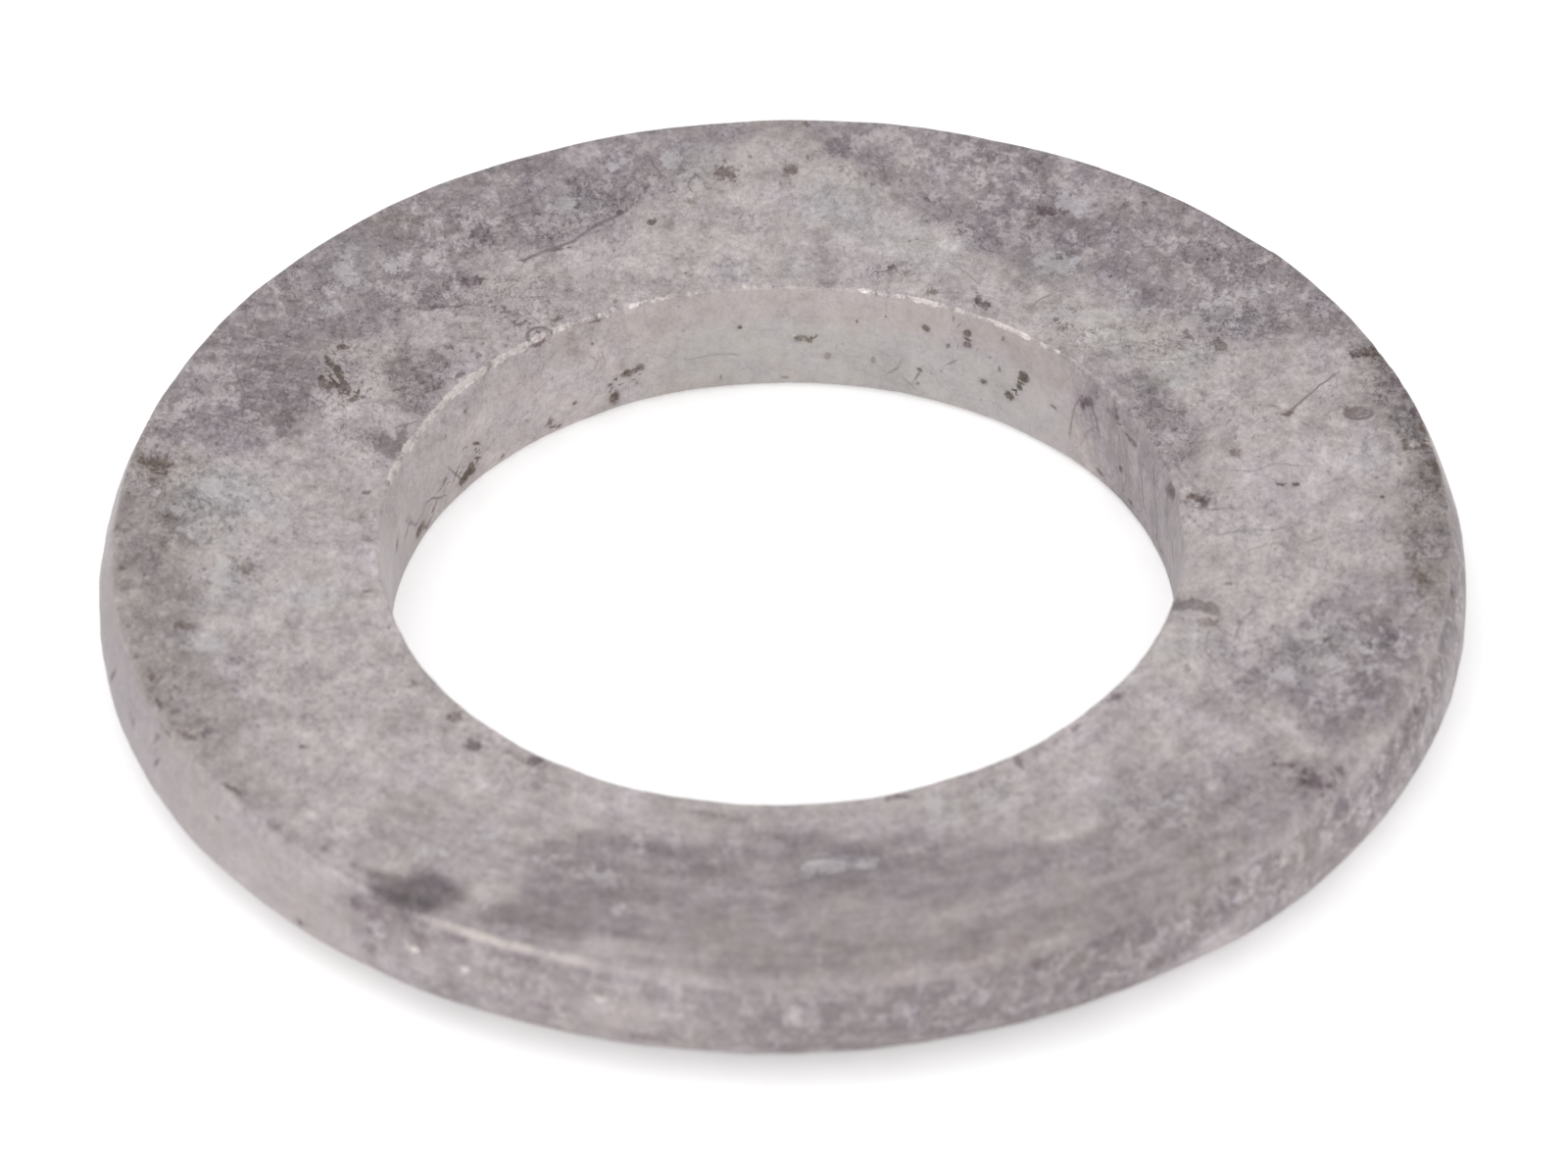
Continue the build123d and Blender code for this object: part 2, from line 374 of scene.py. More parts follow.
# Light flakes: x, y, half axes, turn, strength.
FLAKE_TOP = [
    (9.5, 16.9, 0.8, 0.32, -45, 0.9), (9.1, 13.7, 0.75, 0.6, 0, 0.9), (8.4, 14.1, 0.4, 0.3, 0, 0.7),
    (3.6, 20.7, 0.55, 0.3, 10, 0.8), (4.3, 19.4, 0.3, 0.4, 0, 0.7), (2.9, 20.3, 0.25, 0.35, 0, 0.6),
    (6.4, 19.7, 0.45, 0.2, 0, 0.7), (6.8, 18.7, 0.3, 0.2, 0, 0.5), (5.2, 17.3, 0.28, 0.2, 0, 0.6),
    (6.8, 16.9, 0.32, 0.28, 0, 0.5), (7.4, 18.0, 0.7, 0.18, 5, 0.5), (10.2, 17.0, 0.22, 0.2, 0, 0.5),
    (10.1, 17.6, 0.15, 0.3, 0, 0.6), (6.5, 15.5, 0.25, 0.2, 0, 0.4), (13.3, 14.95, 0.4, 0.16, 0, 0.8),
    (14.7, 12.95, 0.28, 0.2, 30, 0.8), (12.3, 13.4, 0.3, 0.22, 0, 0.6), (11.3, 12.3, 0.5, 0.16, 0, 0.5),
    (14.0, 11.6, 0.4, 0.16, 10, 0.7), (13.4, 10.7, 0.6, 0.45, 0, 0.7), (14.6, 10.9, 0.45, 0.4, 0, 0.7),
    (15.4, 12.1, 0.4, 0.14, -10, 0.6), (10.3, 11.1, 0.6, 0.45, 0, 0.7), (8.8, 11.3, 0.5, 0.4, 0, 0.6),
    (8.1, 12.2, 0.6, 0.35, 0, 0.5), (12.1, 11.5, 0.4, 0.3, 0, 0.5), (9.4, 19.1, 0.4, 0.2, -20, 0.5),
    (11.3, 10.1, 0.6, 0.4, 0, 0.5), (12.9, 7.6, 0.6, 0.4, 0, 0.6), (13.3, 8.9, 0.7, 0.3, 0, 0.5),
    (-14.2, 14.2, 0.3, 0.5, 0, 0.9), (-13.9, 13.6, 0.4, 0.25, 0, 0.7), (-12.4, 14.4, 0.22, 0.38, 0, 0.8),
    (-12.6, 13.35, 0.42, 0.2, 0, 0.8), (-14.5, 12.2, 0.3, 0.2, 0, 0.6), (-11.2, 14.8, 0.25, 0.3, 0, 0.5),
    (-10.0, 17.2, 0.3, 0.25, 0, 0.5), (-9.2, 16.5, 0.4, 0.2, 20, 0.4), (-6.8, 17.3, 0.55, 0.45, 0, 0.5),
    (-8.1, 16.2, 0.25, 0.3, 0, 0.5), (-5.2, 19.4, 0.5, 0.3, 0, 0.4), (-3.3, 19.5, 0.45, 0.6, 0, 0.5),
    (-2.7, 18.9, 0.45, 0.35, 0, 0.7), (-8.0, 18.9, 0.5, 0.25, 20, 0.4), (-10.1, 14.6, 0.2, 0.2, 0, 0.4),
    (-18.6, 9.35, 0.35, 0.3, 0, 0.8), (-17.7, 8.8, 0.35, 0.25, 0, 0.6), (-18.4, 7.9, 0.5, 0.22, 0, 0.6),
    (-19.3, 7.3, 0.3, 0.4, 0, 0.7), (-19.8, 6.6, 0.4, 0.25, 0, 0.8), (-20.3, 5.6, 0.3, 0.3, 0, 0.7),
    (-17.0, 6.9, 0.3, 0.35, 0, 0.5), (-16.2, 10.4, 0.4, 0.16, -20, 0.3), (-18.3, 3.4, 0.55, 0.5, 0, 0.9),
    (-17.3, 3.2, 0.5, 0.45, 0, 0.7), (-19.3, 2.2, 0.7, 0.28, -10, 0.9), (-18.4, 1.5, 0.5, 0.3, 0, 0.7),
    (-17.4, 1.7, 0.6, 0.3, 0, 0.6), (-19.2, 1.2, 0.55, 0.2, 0, 0.6), (-18.5, 4.1, 0.35, 0.2, 0, 0.7),
    (-18.0, -1.2, 0.28, 0.9, 0, 0.9), (-17.7, -2.5, 0.35, 0.4, 0, 0.8), (-18.5, -4.7, 0.8, 0.5, 0, 0.6),
    (-17.7, 0.5, 0.35, 0.6, 0, 0.5), (-16.1, 1.5, 0.4, 0.6, 0, 0.4), (-15.0, -2.4, 0.9, 0.6, 0, 0.4),
    (-7.0, -15.8, 0.7, 0.22, -25, 0.9), (-6.3, -16.3, 0.5, 0.2, -20, 0.9), (-5.6, -16.4, 0.25, 0.5, 15, 0.7),
    (-9.6, -16.9, 0.3, 0.6, 0, 0.8), (1.2, -16.15, 0.86, 0.42, 12, 1.0), (2.6, -16.0, 0.52, 0.34, 0, 1.0),
    (-5.4, -18.0, 0.3, 0.25, 0, 0.5), (-4.6, -14.9, 0.2, 0.4, 0, 0.5), (-3.5, -14.8, 0.3, 0.4, 0, 0.3),
    (12.2, -13.3, 0.8, 0.3, 10, 0.9), (13.6, -12.4, 0.45, 0.24, 10, 0.7), (12.7, -14.5, 0.22, 0.3, 0, 0.8),
    (11.2, -14.2, 0.4, 0.2, 30, 0.4), (15.1, -9.4, 0.3, 0.4, 0, 0.8), (15.9, -9.5, 0.28, 0.2, 0, 0.8),
    (16.9, -5.2, 0.7, 0.35, 0, 0.8), (17.5, -6.6, 0.4, 0.4, 0, 0.6), (15.9, -7.0, 0.5, 0.4, 0, 0.7),
    (18.6, -6.9, 0.22, 0.2, 0, 0.8), (16.9, -8.4, 0.28, 0.22, 0, 0.6), (19.3, -6.7, 0.15, 0.15, 0, 0.5),
    (12.3, -5.8, 0.5, 0.6, 0, 0.6), (13.5, -4.2, 0.5, 0.3, 0, 0.4), (18.6, -1.2, 0.3, 0.4, -20, 0.6),
    (4.6, -13.0, 0.7, 0.4, 0, 0.5), (7.0, -12.4, 0.6, 0.5, 0, 0.4), (9.6, -9.4, 0.4, 0.7, 30, 0.5),
    (11.4, -7.4, 0.4, 0.5, 20, 0.5), (5.3, -14.0, 0.7, 0.25, 0, 0.4), (2.2, -14.6, 0.3, 0.4, 0, 0.4),
    (-11.6, -15.2, 1.2, 0.3, 8, 0.4), (-13.6, -13.5, 0.3, 0.6, 0, 0.5), (-9.6, -14.3, 0.8, 0.3, 25, 0.4),
    (17.0, -10.9, 0.25, 0.4, 0, 0.5), (14.3, -9.8, 0.25, 0.25, 0, 0.5), (13.8, 12.6, 0.3, 0.2, 0, 0.4),
]
# Lines of the upper face: half width, strength, points.
LINE_TOP = [
    # the first two are dark rings round the two raised front flakes, painted shadow of their rims
    (0.070, 0.55, [(1.2 + 0.90 * math.cos(t * math.pi / 8), -16.15 + 0.46 * math.sin(t * math.pi / 8)) for t in range(17)]),
    (0.070, 0.50, [(2.6 + 0.56 * math.cos(t * math.pi / 8), -16.0 + 0.38 * math.sin(t * math.pi / 8)) for t in range(17)]),
    (0.060, 0.95, [(18.70 + 0.44 * math.cos(t * math.pi / 8), 5.95 + 0.27 * math.sin(t * math.pi / 8)) for t in range(17)]),
    (0.025, 0.6, [(18.58, 5.80), (18.56, 6.10)]), (0.025, 0.6, [(18.80, 5.80), (18.78, 6.12)]),
    (0.030, 0.9, [(16.55, 6.15), (16.85, 6.6), (17.2, 7.0), (17.55, 7.45), (18.0, 7.9)]),
    (0.045, 0.8, [(16.75, 6.4), (17.1, 6.9)]),
    (0.025, 0.9, [(13.3, 1.35), (13.75, 1.25), (14.5, 1.3)]),
    (0.030, 0.8, [(3.3, 13.55), (3.7, 13.65), (3.95, 13.95)]),
    (0.030, 0.7, [(12.2, 7.9), (12.15, 7.3)]),
    (0.030, 0.6, [(8.1, 11.5), (8.5, 12.0), (8.9, 12.25)]),
    (0.060, 0.9, [(-8.2, 14.5), (-7.4, 15.0), (-6.6, 15.4), (-5.9, 16.2), (-5.2, 16.7)]),
    (0.030, 0.6, [(-11.9, 10.9), (-12.05, 10.4), (-12.0, 9.9)]),
    (0.025, 0.6, [(-2.6, 18.6), (-2.9, 18.3), (-2.7, 17.9)]),
    (0.020, 0.5, [(5.6, 14.0), (6.2, 13.4), (6.5, 12.9)]),
    (0.030, 0.8, [(-12.3, 6.2), (-11.8, 6.4)]),
    (0.035, 0.6, [(-18.9, 7.1), (-18.0, 6.9), (-17.2, 6.6), (-16.7, 6.35)]),
    (0.025, 0.5, [(-20.2, 2.9), (-19.7, 2.6), (-19.2, 2.9), (-18.6, 2.7)]),
    (0.025, 0.5, [(-19.9, 1.7), (-19.0, 1.75), (-18.3, 1.95)]),
    (0.022, 0.5, [(14.5, 3.2), (15.2, 3.1), (16.0, 3.5), (16.9, 3.3)]),
    (0.022, 0.5, [(14.2, 0.0), (15.0, 0.2), (15.9, 0.15), (16.4, 0.45)]),
    (0.022, 0.45, [(15.0, -0.8), (15.8, -0.5), (16.6, -0.6), (17.3, -0.3)]),
    (0.030, 0.5, [(14.5, -5.1), (14.7, -4.3), (15.3, -3.6)]),
    (0.030, 0.5, [(13.9, -6.6), (13.5, -5.8), (13.6, -5.0)]),
    (0.020, 0.4, [(10.6, 9.6), (11.5, 9.8), (12.6, 9.5), (13.4, 9.7)]),
    (0.020, 0.4, [(11.2, 9.0), (12.4, 8.8), (13.9, 9.1)]),
]
# Bright zinc flecks, bare zinc painted as glints: x, y, half axes, turn.
FLECK_TOP = [(3.4, 13.2, 0.06, 0.05, 0), (1.9, 19.2, 0.12, 0.06, 20), (18.05, 6.0, 0.07, 0.05, 0),
             (-8.85, 10.95, 0.1, 0.06, 30), (6.9, 13.0, 0.08, 0.05, 0)]
# Olive grime: x, y, half axes, turn, strength.
OLIVE_TOP = [
    (-20.6, 4.2, 1.2, 1.3, 0, 1.0), (-20.6, 0.0, 1.2, 3.4, 0, 0.8), (-19.4, -3.0, 0.8, 1.6, 0, 0.7),
    (-12.2, 16.9, 1.4, 0.8, 35, 0.9), (-9.4, 18.6, 1.6, 0.6, 25, 0.7), (-15.6, 13.4, 1.2, 1.2, 45, 0.7),
    (4.6, 18.9, 0.9, 1.4, 0, 0.8), (3.6, 18.2, 0.8, 0.5, -40, 0.6), (12.6, 17.0, 1.4, 0.7, -40, 0.4),
    (17.2, 10.6, 1.7, 0.7, 0, 0.9), (20.9, 1.2, 0.8, 2.4, 0, 1.0), (20.4, -2.4, 1.1, 1.6, 0, 0.9),
    (19.2, -4.4, 0.9, 0.5, 0, 0.5), (16.3, -12.0, 1.6, 1.0, -30, 0.8), (15.0, -13.6, 1.6, 0.9, 40, 0.5),
    (-16.6, -11.4, 1.6, 1.4, 0, 0.6), (-11.4, -13.0, 1.6, 0.9, 0, 0.5), (-18.2, -8.4, 1.4, 0.9, 0, 0.5),
    (-8.6, -18.4, 1.6, 0.7, -15, 0.7), (-3.0, -19.0, 3.0, 0.9, 0, 0.4), (4.0, -19.4, 5.0, 1.4, 0, 0.4),
    (0.0, -13.8, 2.6, 0.5, 0, 0.5), (5.0, -16.6, 3.0, 0.5, 5, 0.4), (-10.0, 11.2, 1.3, 1.0, 30, 0.4),
    (0.6, 15.8, 1.6, 1.0, 0, 0.35), (-8.2, 14.8, 0.7, 0.4, 20, 0.5), (16.2, 14.0, 0.8, 1.0, 0, 0.4),
]
# Broad touches laid over the rest: tone, hue, x, y, half axes, turn, cover.
TOUCH_TOP = [
    (182, -0.2, 16.0, -1.6, 2.0, 1.4, 0, 0.8),
    (179, 0.0, 3.0, 15.6, 2.4, 1.3, -10, 0.6),
    (163, 0.5, -3.2, 19.2, 1.4, 1.2, 0, 0.6),
    (158, 0.4, 17.4, -6.0, 1.8, 1.2, 0, 0.5),
]
# Where pale scales stand out strongly: x, y, half axes, turn, amount.
FLAKY_TOP = [
    (-12.0, 15.0, 4.5, 2.0, 35, 0.6), (-5.0, 19.0, 3.5, 1.8, 10, 0.5), (8.0, 18.0, 5.0, 2.2, -25, 0.5),
    (14.0, 12.6, 3.5, 2.4, -40, 0.5), (-18.2, 2.6, 2.4, 2.2, 0, 1.0), (-18.4, 7.6, 2.0, 2.2, 0, 0.6),
    (17.6, -6.0, 2.4, 2.2, 0, 0.7), (15.6, -9.2, 2.0, 1.2, 0, 0.5), (12.6, -13.6, 2.6, 1.4, 30, 0.7),
    (-6.4, -15.8, 2.4, 1.0, -20, 0.5), (2.0, -15.6, 2.4, 1.0, 0, 0.4), (12.4, 5.8, 1.4, 2.6, 20, 0.4),
    (20.6, 4.0, 1.2, 4.0, 0, 0.5),
]
# Where fine dark squiggles gather.
SCRIBBLE_TOP = [
    (-9.8, 12.7, 2.6, 0.7, 12, 1.0), (-7.6, 11.6, 1.2, 0.9, 20, 1.1), (-6.4, 16.4, 1.6, 0.7, 35, 1.0),
    (-14.2, 8.4, 0.9, 2.0, 0, 1.2), (-11.9, 8.6, 1.4, 2.0, 20, 0.7), (-13.0, 5.4, 1.2, 1.2, 0, 0.9),
    (-5.6, 18.2, 1.8, 1.0, 0, 0.8), (-15.6, 13.4, 1.4, 1.2, 45, 0.6), (-18.4, 2.6, 2.2, 2.0, 0, 0.7),
    (-17.4, -1.2, 1.4, 1.6, 0, 0.6), (-20.4, 4.4, 1.0, 1.6, 0, 0.7), (2.4, 18.9, 1.2, 0.8, -40, 0.8),
    (6.0, 15.6, 1.6, 0.5, -40, 0.8), (3.8, 13.5, 1.0, 0.5, 10, 0.9), (5.2, 12.6, 0.8, 0.4, 0, 0.8),
    (9.4, 10.8, 1.4, 0.9, -30, 0.8), (12.8, 9.6, 1.8, 0.9, -20, 0.9), (15.0, 10.6, 2.0, 0.8, 0, 0.7),
    (12.2, 5.4, 0.9, 2.4, 10, 0.9), (13.6, 1.4, 0.9, 0.8, 0, 0.8), (14.6, 6.2, 1.4, 0.6, 0, 0.6),
    (19.6, 7.6, 1.0, 2.0, 20, 0.9), (20.8, 3.6, 0.6, 2.4, 5, 1.1), (20.6, -1.0, 0.8, 2.6, 0, 0.9),
    (16.2, 0.0, 2.4, 1.2, 0, 0.4), (17.0, -5.6, 2.0, 1.6, 0, 0.8), (13.8, -5.0, 1.2, 1.6, 20, 0.5),
    (15.6, -9.2, 2.0, 1.0, 0, 0.5), (-12.6, -7.0, 1.8, 1.6, 0, 0.4), (-16.6, -6.6, 1.6, 1.8, 0, 0.5),
    (-19.4, -7.6, 1.0, 1.8, 20, 0.5), (-8.8, -10.6, 1.4, 0.9, -35, 0.6), (-6.6, -14.8, 2.4, 0.8, 0, 0.5),
    (0.2, -13.6, 2.4, 0.5, 0, 0.5), (6.8, -11.8, 2.6, 0.7, 30, 0.5), (-2.6, 18.4, 1.6, 0.8, 0, 0.6),
    (-9.6, 16.0, 3.0, 1.4, 30, 0.6), (9.6, 17.6, 3.6, 1.4, -25, 0.5), (15.0, 13.4, 2.6, 1.6, -40, 0.5),
]
# Cool, faintly blue-white clouds.
COOL_TOP = [
    (2.0, 17.0, 1.2, 1.6, 0, 0.8), (4.6, 14.8, 1.7, 0.9, -30, 0.9), (9.0, 13.6, 1.3, 0.9, 0, 0.8),
    (12.9, 8.2, 1.6, 1.2, 20, 0.8), (10.6, 10.6, 1.6, 0.9, -40, 0.6), (-18.0, 2.8, 1.8, 1.5, 0, 1.0),
    (-18.0, -1.0, 0.9, 2.2, 0, 0.8), (-15.4, -2.4, 1.3, 1.0, 0, 0.5), (-2.6, 19.2, 1.2, 1.2, 0, 0.7),
    (-6.4, 17.4, 0.8, 0.8, 0, 0.7), (-13.4, 14.8, 1.0, 0.9, 0, 0.6), (-0.6, 13.6, 2.2, 0.6, 0, 0.6),
    (12.4, -5.6, 0.9, 1.3, 20, 0.6), (14.6, -1.0, 1.0, 1.6, 0, 0.4), (17.4, -6.0, 1.6, 1.4, 0, 0.5),
    (5.0, -13.4, 2.0, 0.8, 0, 0.5), (-11.8, -15.2, 1.6, 0.4, 8, 0.5), (10.2, -13.6, 1.6, 0.9, 30, 0.3),
    (20.6, 5.0, 0.5, 1.2, 15, 0.6), (18.8, 4.0, 1.0, 0.7, 0, 0.4), (-18.6, -4.8, 1.2, 0.9, 0, 0.5),
    (14.6, 10.9, 1.2, 0.6, 0, 0.5), (-14.0, -8.0, 1.8, 2.0, 0, 0.2), (0.8, -16.4, 1.6, 0.7, 0, 0.3),
]
# Pale, warm, almost clean zinc.
PALE_TOP = [
    (17.2, 4.0, 3.2, 3.6, 0, 0.8), (16.0, -1.4, 2.4, 2.4, 0, 0.8), (14.4, -5.6, 1.6, 2.6, 20, 0.6),
    (0.5, 15.6, 4.2, 1.7, 0, 0.8), (-3.6, 15.0, 2.4, 1.2, 20, 0.5), (5.0, 14.2, 2.2, 1.2, -30, 0.5),
    (-14.6, 1.5, 1.6, 4.0, 0, 0.8), (-14.4, -5.0, 3.2, 3.4, 0, 0.7), (-13.0, -10.4, 3.4, 3.0, 0, 0.7),
    (-13.6, 8.0, 0.9, 1.6, 10, 0.6), (-10.0, 11.2, 1.8, 1.0, 40, 0.5), (-7.0, -12.8, 3.4, 1.4, -20, 0.6),
    (8.4, -12.0, 2.6, 1.2, 30, 0.5), (11.2, -9.6, 2.2, 1.8, 40, 0.5), (-16.8, -9.6, 2.2, 3.4, 30, 0.4),
    (-2.0, 17.2, 1.4, 1.0, 0, 0.3), (13.4, 1.4, 0.9, 2.4, 0, 0.3), (19.4, 7.0, 1.0, 1.2, 0, 0.5),
]
# Extra darkness inside the dark patches.
DEEP_TOP = [
    (6.2, 15.6, 1.4, 0.8, -40, 0.8), (8.6, 16.2, 1.8, 0.6, -10, 0.9), (9.6, 15.0, 1.6, 0.8, -20, 0.8),
    (7.6, 19.2, 1.0, 0.7, 0, 0.5), (3.0, 19.2, 0.9, 0.6, -40, 0.6), (2.2, 20.4, 0.8, 0.6, 0, 0.6),
    (-16.2, 9.4, 1.4, 2.2, 0, 0.9), (-15.6, 6.8, 1.0, 1.2, 0, 0.8), (-17.0, 7.6, 1.4, 0.6, -10, 0.5),
    (-14.8, 11.4, 1.6, 0.8, -20, 0.5), (-11.0, 13.2, 1.2, 1.0, 20, 0.7), (-10.4, 15.6, 2.0, 1.0, 30, 0.4),
    (-11.8, 8.2, 0.7, 1.4, 20, 0.9), (18.4, -8.4, 1.2, 1.6, -20, 0.9), (19.6, -5.4, 0.7, 1.6, 0, 0.7),
    (-2.8, -16.4, 1.2, 0.8, 0, 0.6), (-8.0, -18.2, 1.8, 0.8, -15, 0.8), (1.8, -17.0, 1.6, 0.5, 0, 0.5),
    (-4.8, -15.4, 1.2, 0.6, 0, 0.4), (12.0, 6.6, 0.8, 1.2, 20, 0.8), (13.0, 4.6, 0.5, 1.0, 10, 0.4),
    (16.6, -12.6, 1.2, 0.8, -30, 0.6), (11.4, 14.4, 1.4, 0.9, 0, 0.3), (14.8, 14.0, 1.2, 0.8, -40, 0.4),
]

# The bore wall, by degrees round the turn and height: degrees, z, half width mm, half height mm, turn, strength.
SPOT_BORE = [
    (86.8, 2.05, 0.20, 0.16, 0, 1.0), (85.4, 1.95, 0.13, 0.14, 0, 0.9), (84.3, 2.2, 0.05, 0.05, 0, 0.6),
    (95.5, 2.6, 0.08, 0.09, 0, 0.8), (112.6, 1.5, 0.24, 0.15, 10, 1.0), (110.7, 1.62, 0.16, 0.16, 0, 1.0),
    (115.0, 0.62, 0.20, 0.28, 0, 1.2), (115.6, 1.25, 0.07, 0.07, 0, 0.8), (111.3, 1.0, 0.07, 0.08, 0, 0.5),
    (142.6, 0.80, 0.32, 0.20, 25, 1.2), (144.3, 0.72, 0.26, 0.20, 0, 1.2), (140.6, 1.08, 0.20, 0.06, 30, 1.0),
    (141.0, 1.75, 0.22, 0.07, 35, 0.9), (145.8, 1.25, 0.30, 0.06, -45, 0.8), (157.4, 0.75, 0.4, 0.22, 0, 1.0),
    (155.0, 0.45, 0.2, 0.1, 0, 0.8), (152.4, 0.85, 0.3, 0.1, -30, 0.8), (163.0, 1.65, 0.3, 0.08, -30, 0.8),
    (168.6, 2.2, 0.35, 0.2, -40, 0.7), (149.0, 1.45, 0.14, 0.08, 0, 0.5), (126.0, 0.70, 0.14, 0.2, 20, 0.8),
    (121.5, 1.02, 0.12, 0.09, 0, 0.8), (124.4, 0.35, 0.14, 0.06, 0, 0.7), (135.3, 0.42, 0.13, 0.10, 0, 0.8),
    (118.2, 3.15, 0.06, 0.05, 0, 0.7), (142.5, 3.25, 0.07, 0.07, 0, 0.6), (125.4, 2.5, 0.05, 0.06, 0, 0.5),
    (126.5, 3.85, 0.3, 0.1, 0, 0.8), (117.0, 3.9, 0.3, 0.1, 0, 0.6), (130.4, 1.3, 0.1, 0.06, 20, 0.4),
    (67.8, 3.08, 0.14, 0.12, 0, 1.1), (61.3, 3.30, 0.16, 0.14, 0, 1.1),
    (61.0, 2.92, 0.14, 0.13, 0, 1.0), (64.2, 2.62, 0.08, 0.12, 20, 0.8),
    (63.7, 3.68, 0.06, 0.10, 0, 0.7), (55.4, 3.6, 0.06, 0.10, 0, 0.6), (51.2, 2.55, 0.24, 0.22, 0, 1.0),
    (52.0, 2.02, 0.13, 0.14, 0, 0.9), 
    (53.8, 1.45, 0.18, 0.17, 0, 1.0), (58.4, 1.60, 0.15, 0.15, 0, 1.0), 
    (45.4, 1.95, 0.15, 0.08, 0, 0.8), (57.2, 2.75, 0.1, 0.05, 0, 0.5), (55.6, 2.4, 0.07, 0.12, 0, 0.6),
    (68.7, 1.32, 0.11, 0.07, 30, 0.8), (69.0, 0.75, 0.08, 0.07, 0, 0.6), (78.3, 2.9, 0.05, 0.08, 0, 0.7),
    (74.0, 3.2, 0.04, 0.04, 0, 0.6), (82.7, 1.35, 0.12, 0.15, 0, 0.35), (75.9, 1.35, 0.12, 0.16, 0, 0.35),
    (80.5, 1.9, 0.05, 0.05, 0, 0.4), (65.3, 1.5, 0.05, 0.04, 0, 0.5), (89.0, 0.4, 0.14, 0.06, 0, 0.5),
    (39.2, 2.95, 0.24, 0.24, 0, 1.2), (37.8, 3.1, 0.2, 0.2, 0, 0.9), (29.4, 1.6, 0.12, 0.14, 0, 0.8),
    (35.3, 0.6, 0.2, 0.15, 0, 0.6), (26.8, 0.65, 0.14, 0.12, 0, 0.7), (14.4, 0.65, 0.2, 0.12, 0, 0.7),
    (12.2, 3.6, 0.5, 0.22, -20, 0.8), (6.0, 2.2, 0.5, 0.12, 40, 0.9), (27.0, 3.2, 0.5, 0.1, 0, 0.6),
    (98.5, 0.6, 0.05, 0.12, 0, 0.4), (104.4, 3.6, 0.04, 0.05, 0, 0.4), (32.0, 3.5, 0.3, 0.16, 20, 0.7),
]
LINE_BORE = [
    (0.040, 0.8, [(73.5, 0.95), (72.3, 1.15), (71.8, 1.5)]), (0.035, 0.7, [(71.0, 0.8), (70.2, 0.6)]),
    (0.050, 0.8, [(38.0, 3.3), (36.0, 2.8), (35.2, 2.2)]), (0.045, 0.7, [(30.0, 2.9), (28.5, 2.1), (28.0, 1.3)]),
    (0.045, 0.7, [(24.0, 3.0), (22.5, 2.2), (22.0, 1.2)]), (0.060, 0.8, [(19.0, 3.3), (17.0, 2.6), (16.4, 1.6), (16.8, 0.8)]),
    (0.060, 0.8, [(13.0, 3.3), (11.0, 2.7), (10.6, 1.9)]), (0.035, 0.6, [(64.0, 1.9), (63.0, 2.1)]),
    (0.035, 0.9, [(163, 2.1), (161, 1.6), (159, 1.25), (157, 1.25), (155, 1.45), (153, 1.35), (151, 1.0), (149.5, 0.85)]),
    (0.030, 0.8, [(162, 2.15), (160, 1.5), (158.5, 1.15)]),
    (0.030, 0.9, [(147.8, 1.75), (146.4, 1.3), (145.2, 0.95)]),
    (0.022, 0.5, [(118.6, 2.7), (117.6, 2.4), (118.2, 2.1), (119.3, 2.0)]),
    (0.022, 0.5, [(116.7, 2.6), (116.2, 2.2), (117.2, 2.0)]),
    (0.030, 0.7, [(69.4, 0.9), (68.6, 1.3)]),
    (0.035, 0.7, [(40.2, 2.9), (41.2, 2.3), (41.8, 1.7), (42.1, 1.2)]),
    (0.030, 0.5, [(36.5, 2.3), (38.3, 1.8), (39.6, 1.2)]),
    (0.025, 0.5, [(103, 1.5), (99.5, 1.55), (96.5, 1.5)]),
]
# Light flecks in the bore and on the outer wall, bare zinc painted as glints: degrees, z, half width, half height.
FLECK_BORE = [(68.6, 2.96, 0.05, 0.06), (87.6, 2.15, 0.04, 0.05), (51.9, 2.75, 0.05, 0.05)]
SPOT_OUTER = [
    (191.0, 2.45, 0.12, 0.40, -25, 0.7), (203.6, 2.65, 0.10, 0.24, -25, 0.7), (202.4, 3.2, 0.14, 0.3, -20, 0.5),
    (198.0, 2.75, 0.3, 0.3, 0, 0.35), (225.0, 1.55, 0.18, 0.12, 0, 0.9), (213.5, 3.1, 0.25, 0.12, 0, 0.4),
    (232.0, 3.35, 0.8, 0.30, 0, 0.4), (237.8, 3.1, 0.35, 0.35, 0, 0.3), (235.0, 3.75, 0.9, 0.22, 0, 0.6),
    (232.6, 2.05, 0.3, 0.2, 0, 0.4), (241.0, 3.7, 0.6, 0.2, 0, 0.5), (247.0, 3.75, 0.8, 0.14, 0, 0.4),
    (249.5, 2.2, 0.35, 0.25, 0, 0.4), (268.0, 3.5, 0.5, 0.22, 0, 0.4), (273.0, 3.5, 0.4, 0.3, 0, 0.4),
    (291.0, 3.3, 0.5, 0.3, 0, 0.4), (286.0, 3.6, 0.5, 0.2, 0, 0.3), (302.0, 1.9, 0.6, 0.25, 0, 0.4),
    (322.5, 3.8, 0.4, 0.2, 0, 0.5), (333.0, 3.55, 0.4, 0.25, 0, 0.5), (338.6, 3.1, 0.3, 0.16, 0, 0.8),
    (340.6, 3.4, 0.3, 0.16, 0, 0.8), (353.4, 3.4, 0.25, 0.2, 0, 0.7), (328.0, 1.8, 0.7, 0.2, 0, 0.6),
    (311.0, 3.4, 0.4, 0.3, 0, 0.3), (258.0, 1.6, 0.5, 0.16, 0, 0.3),
]
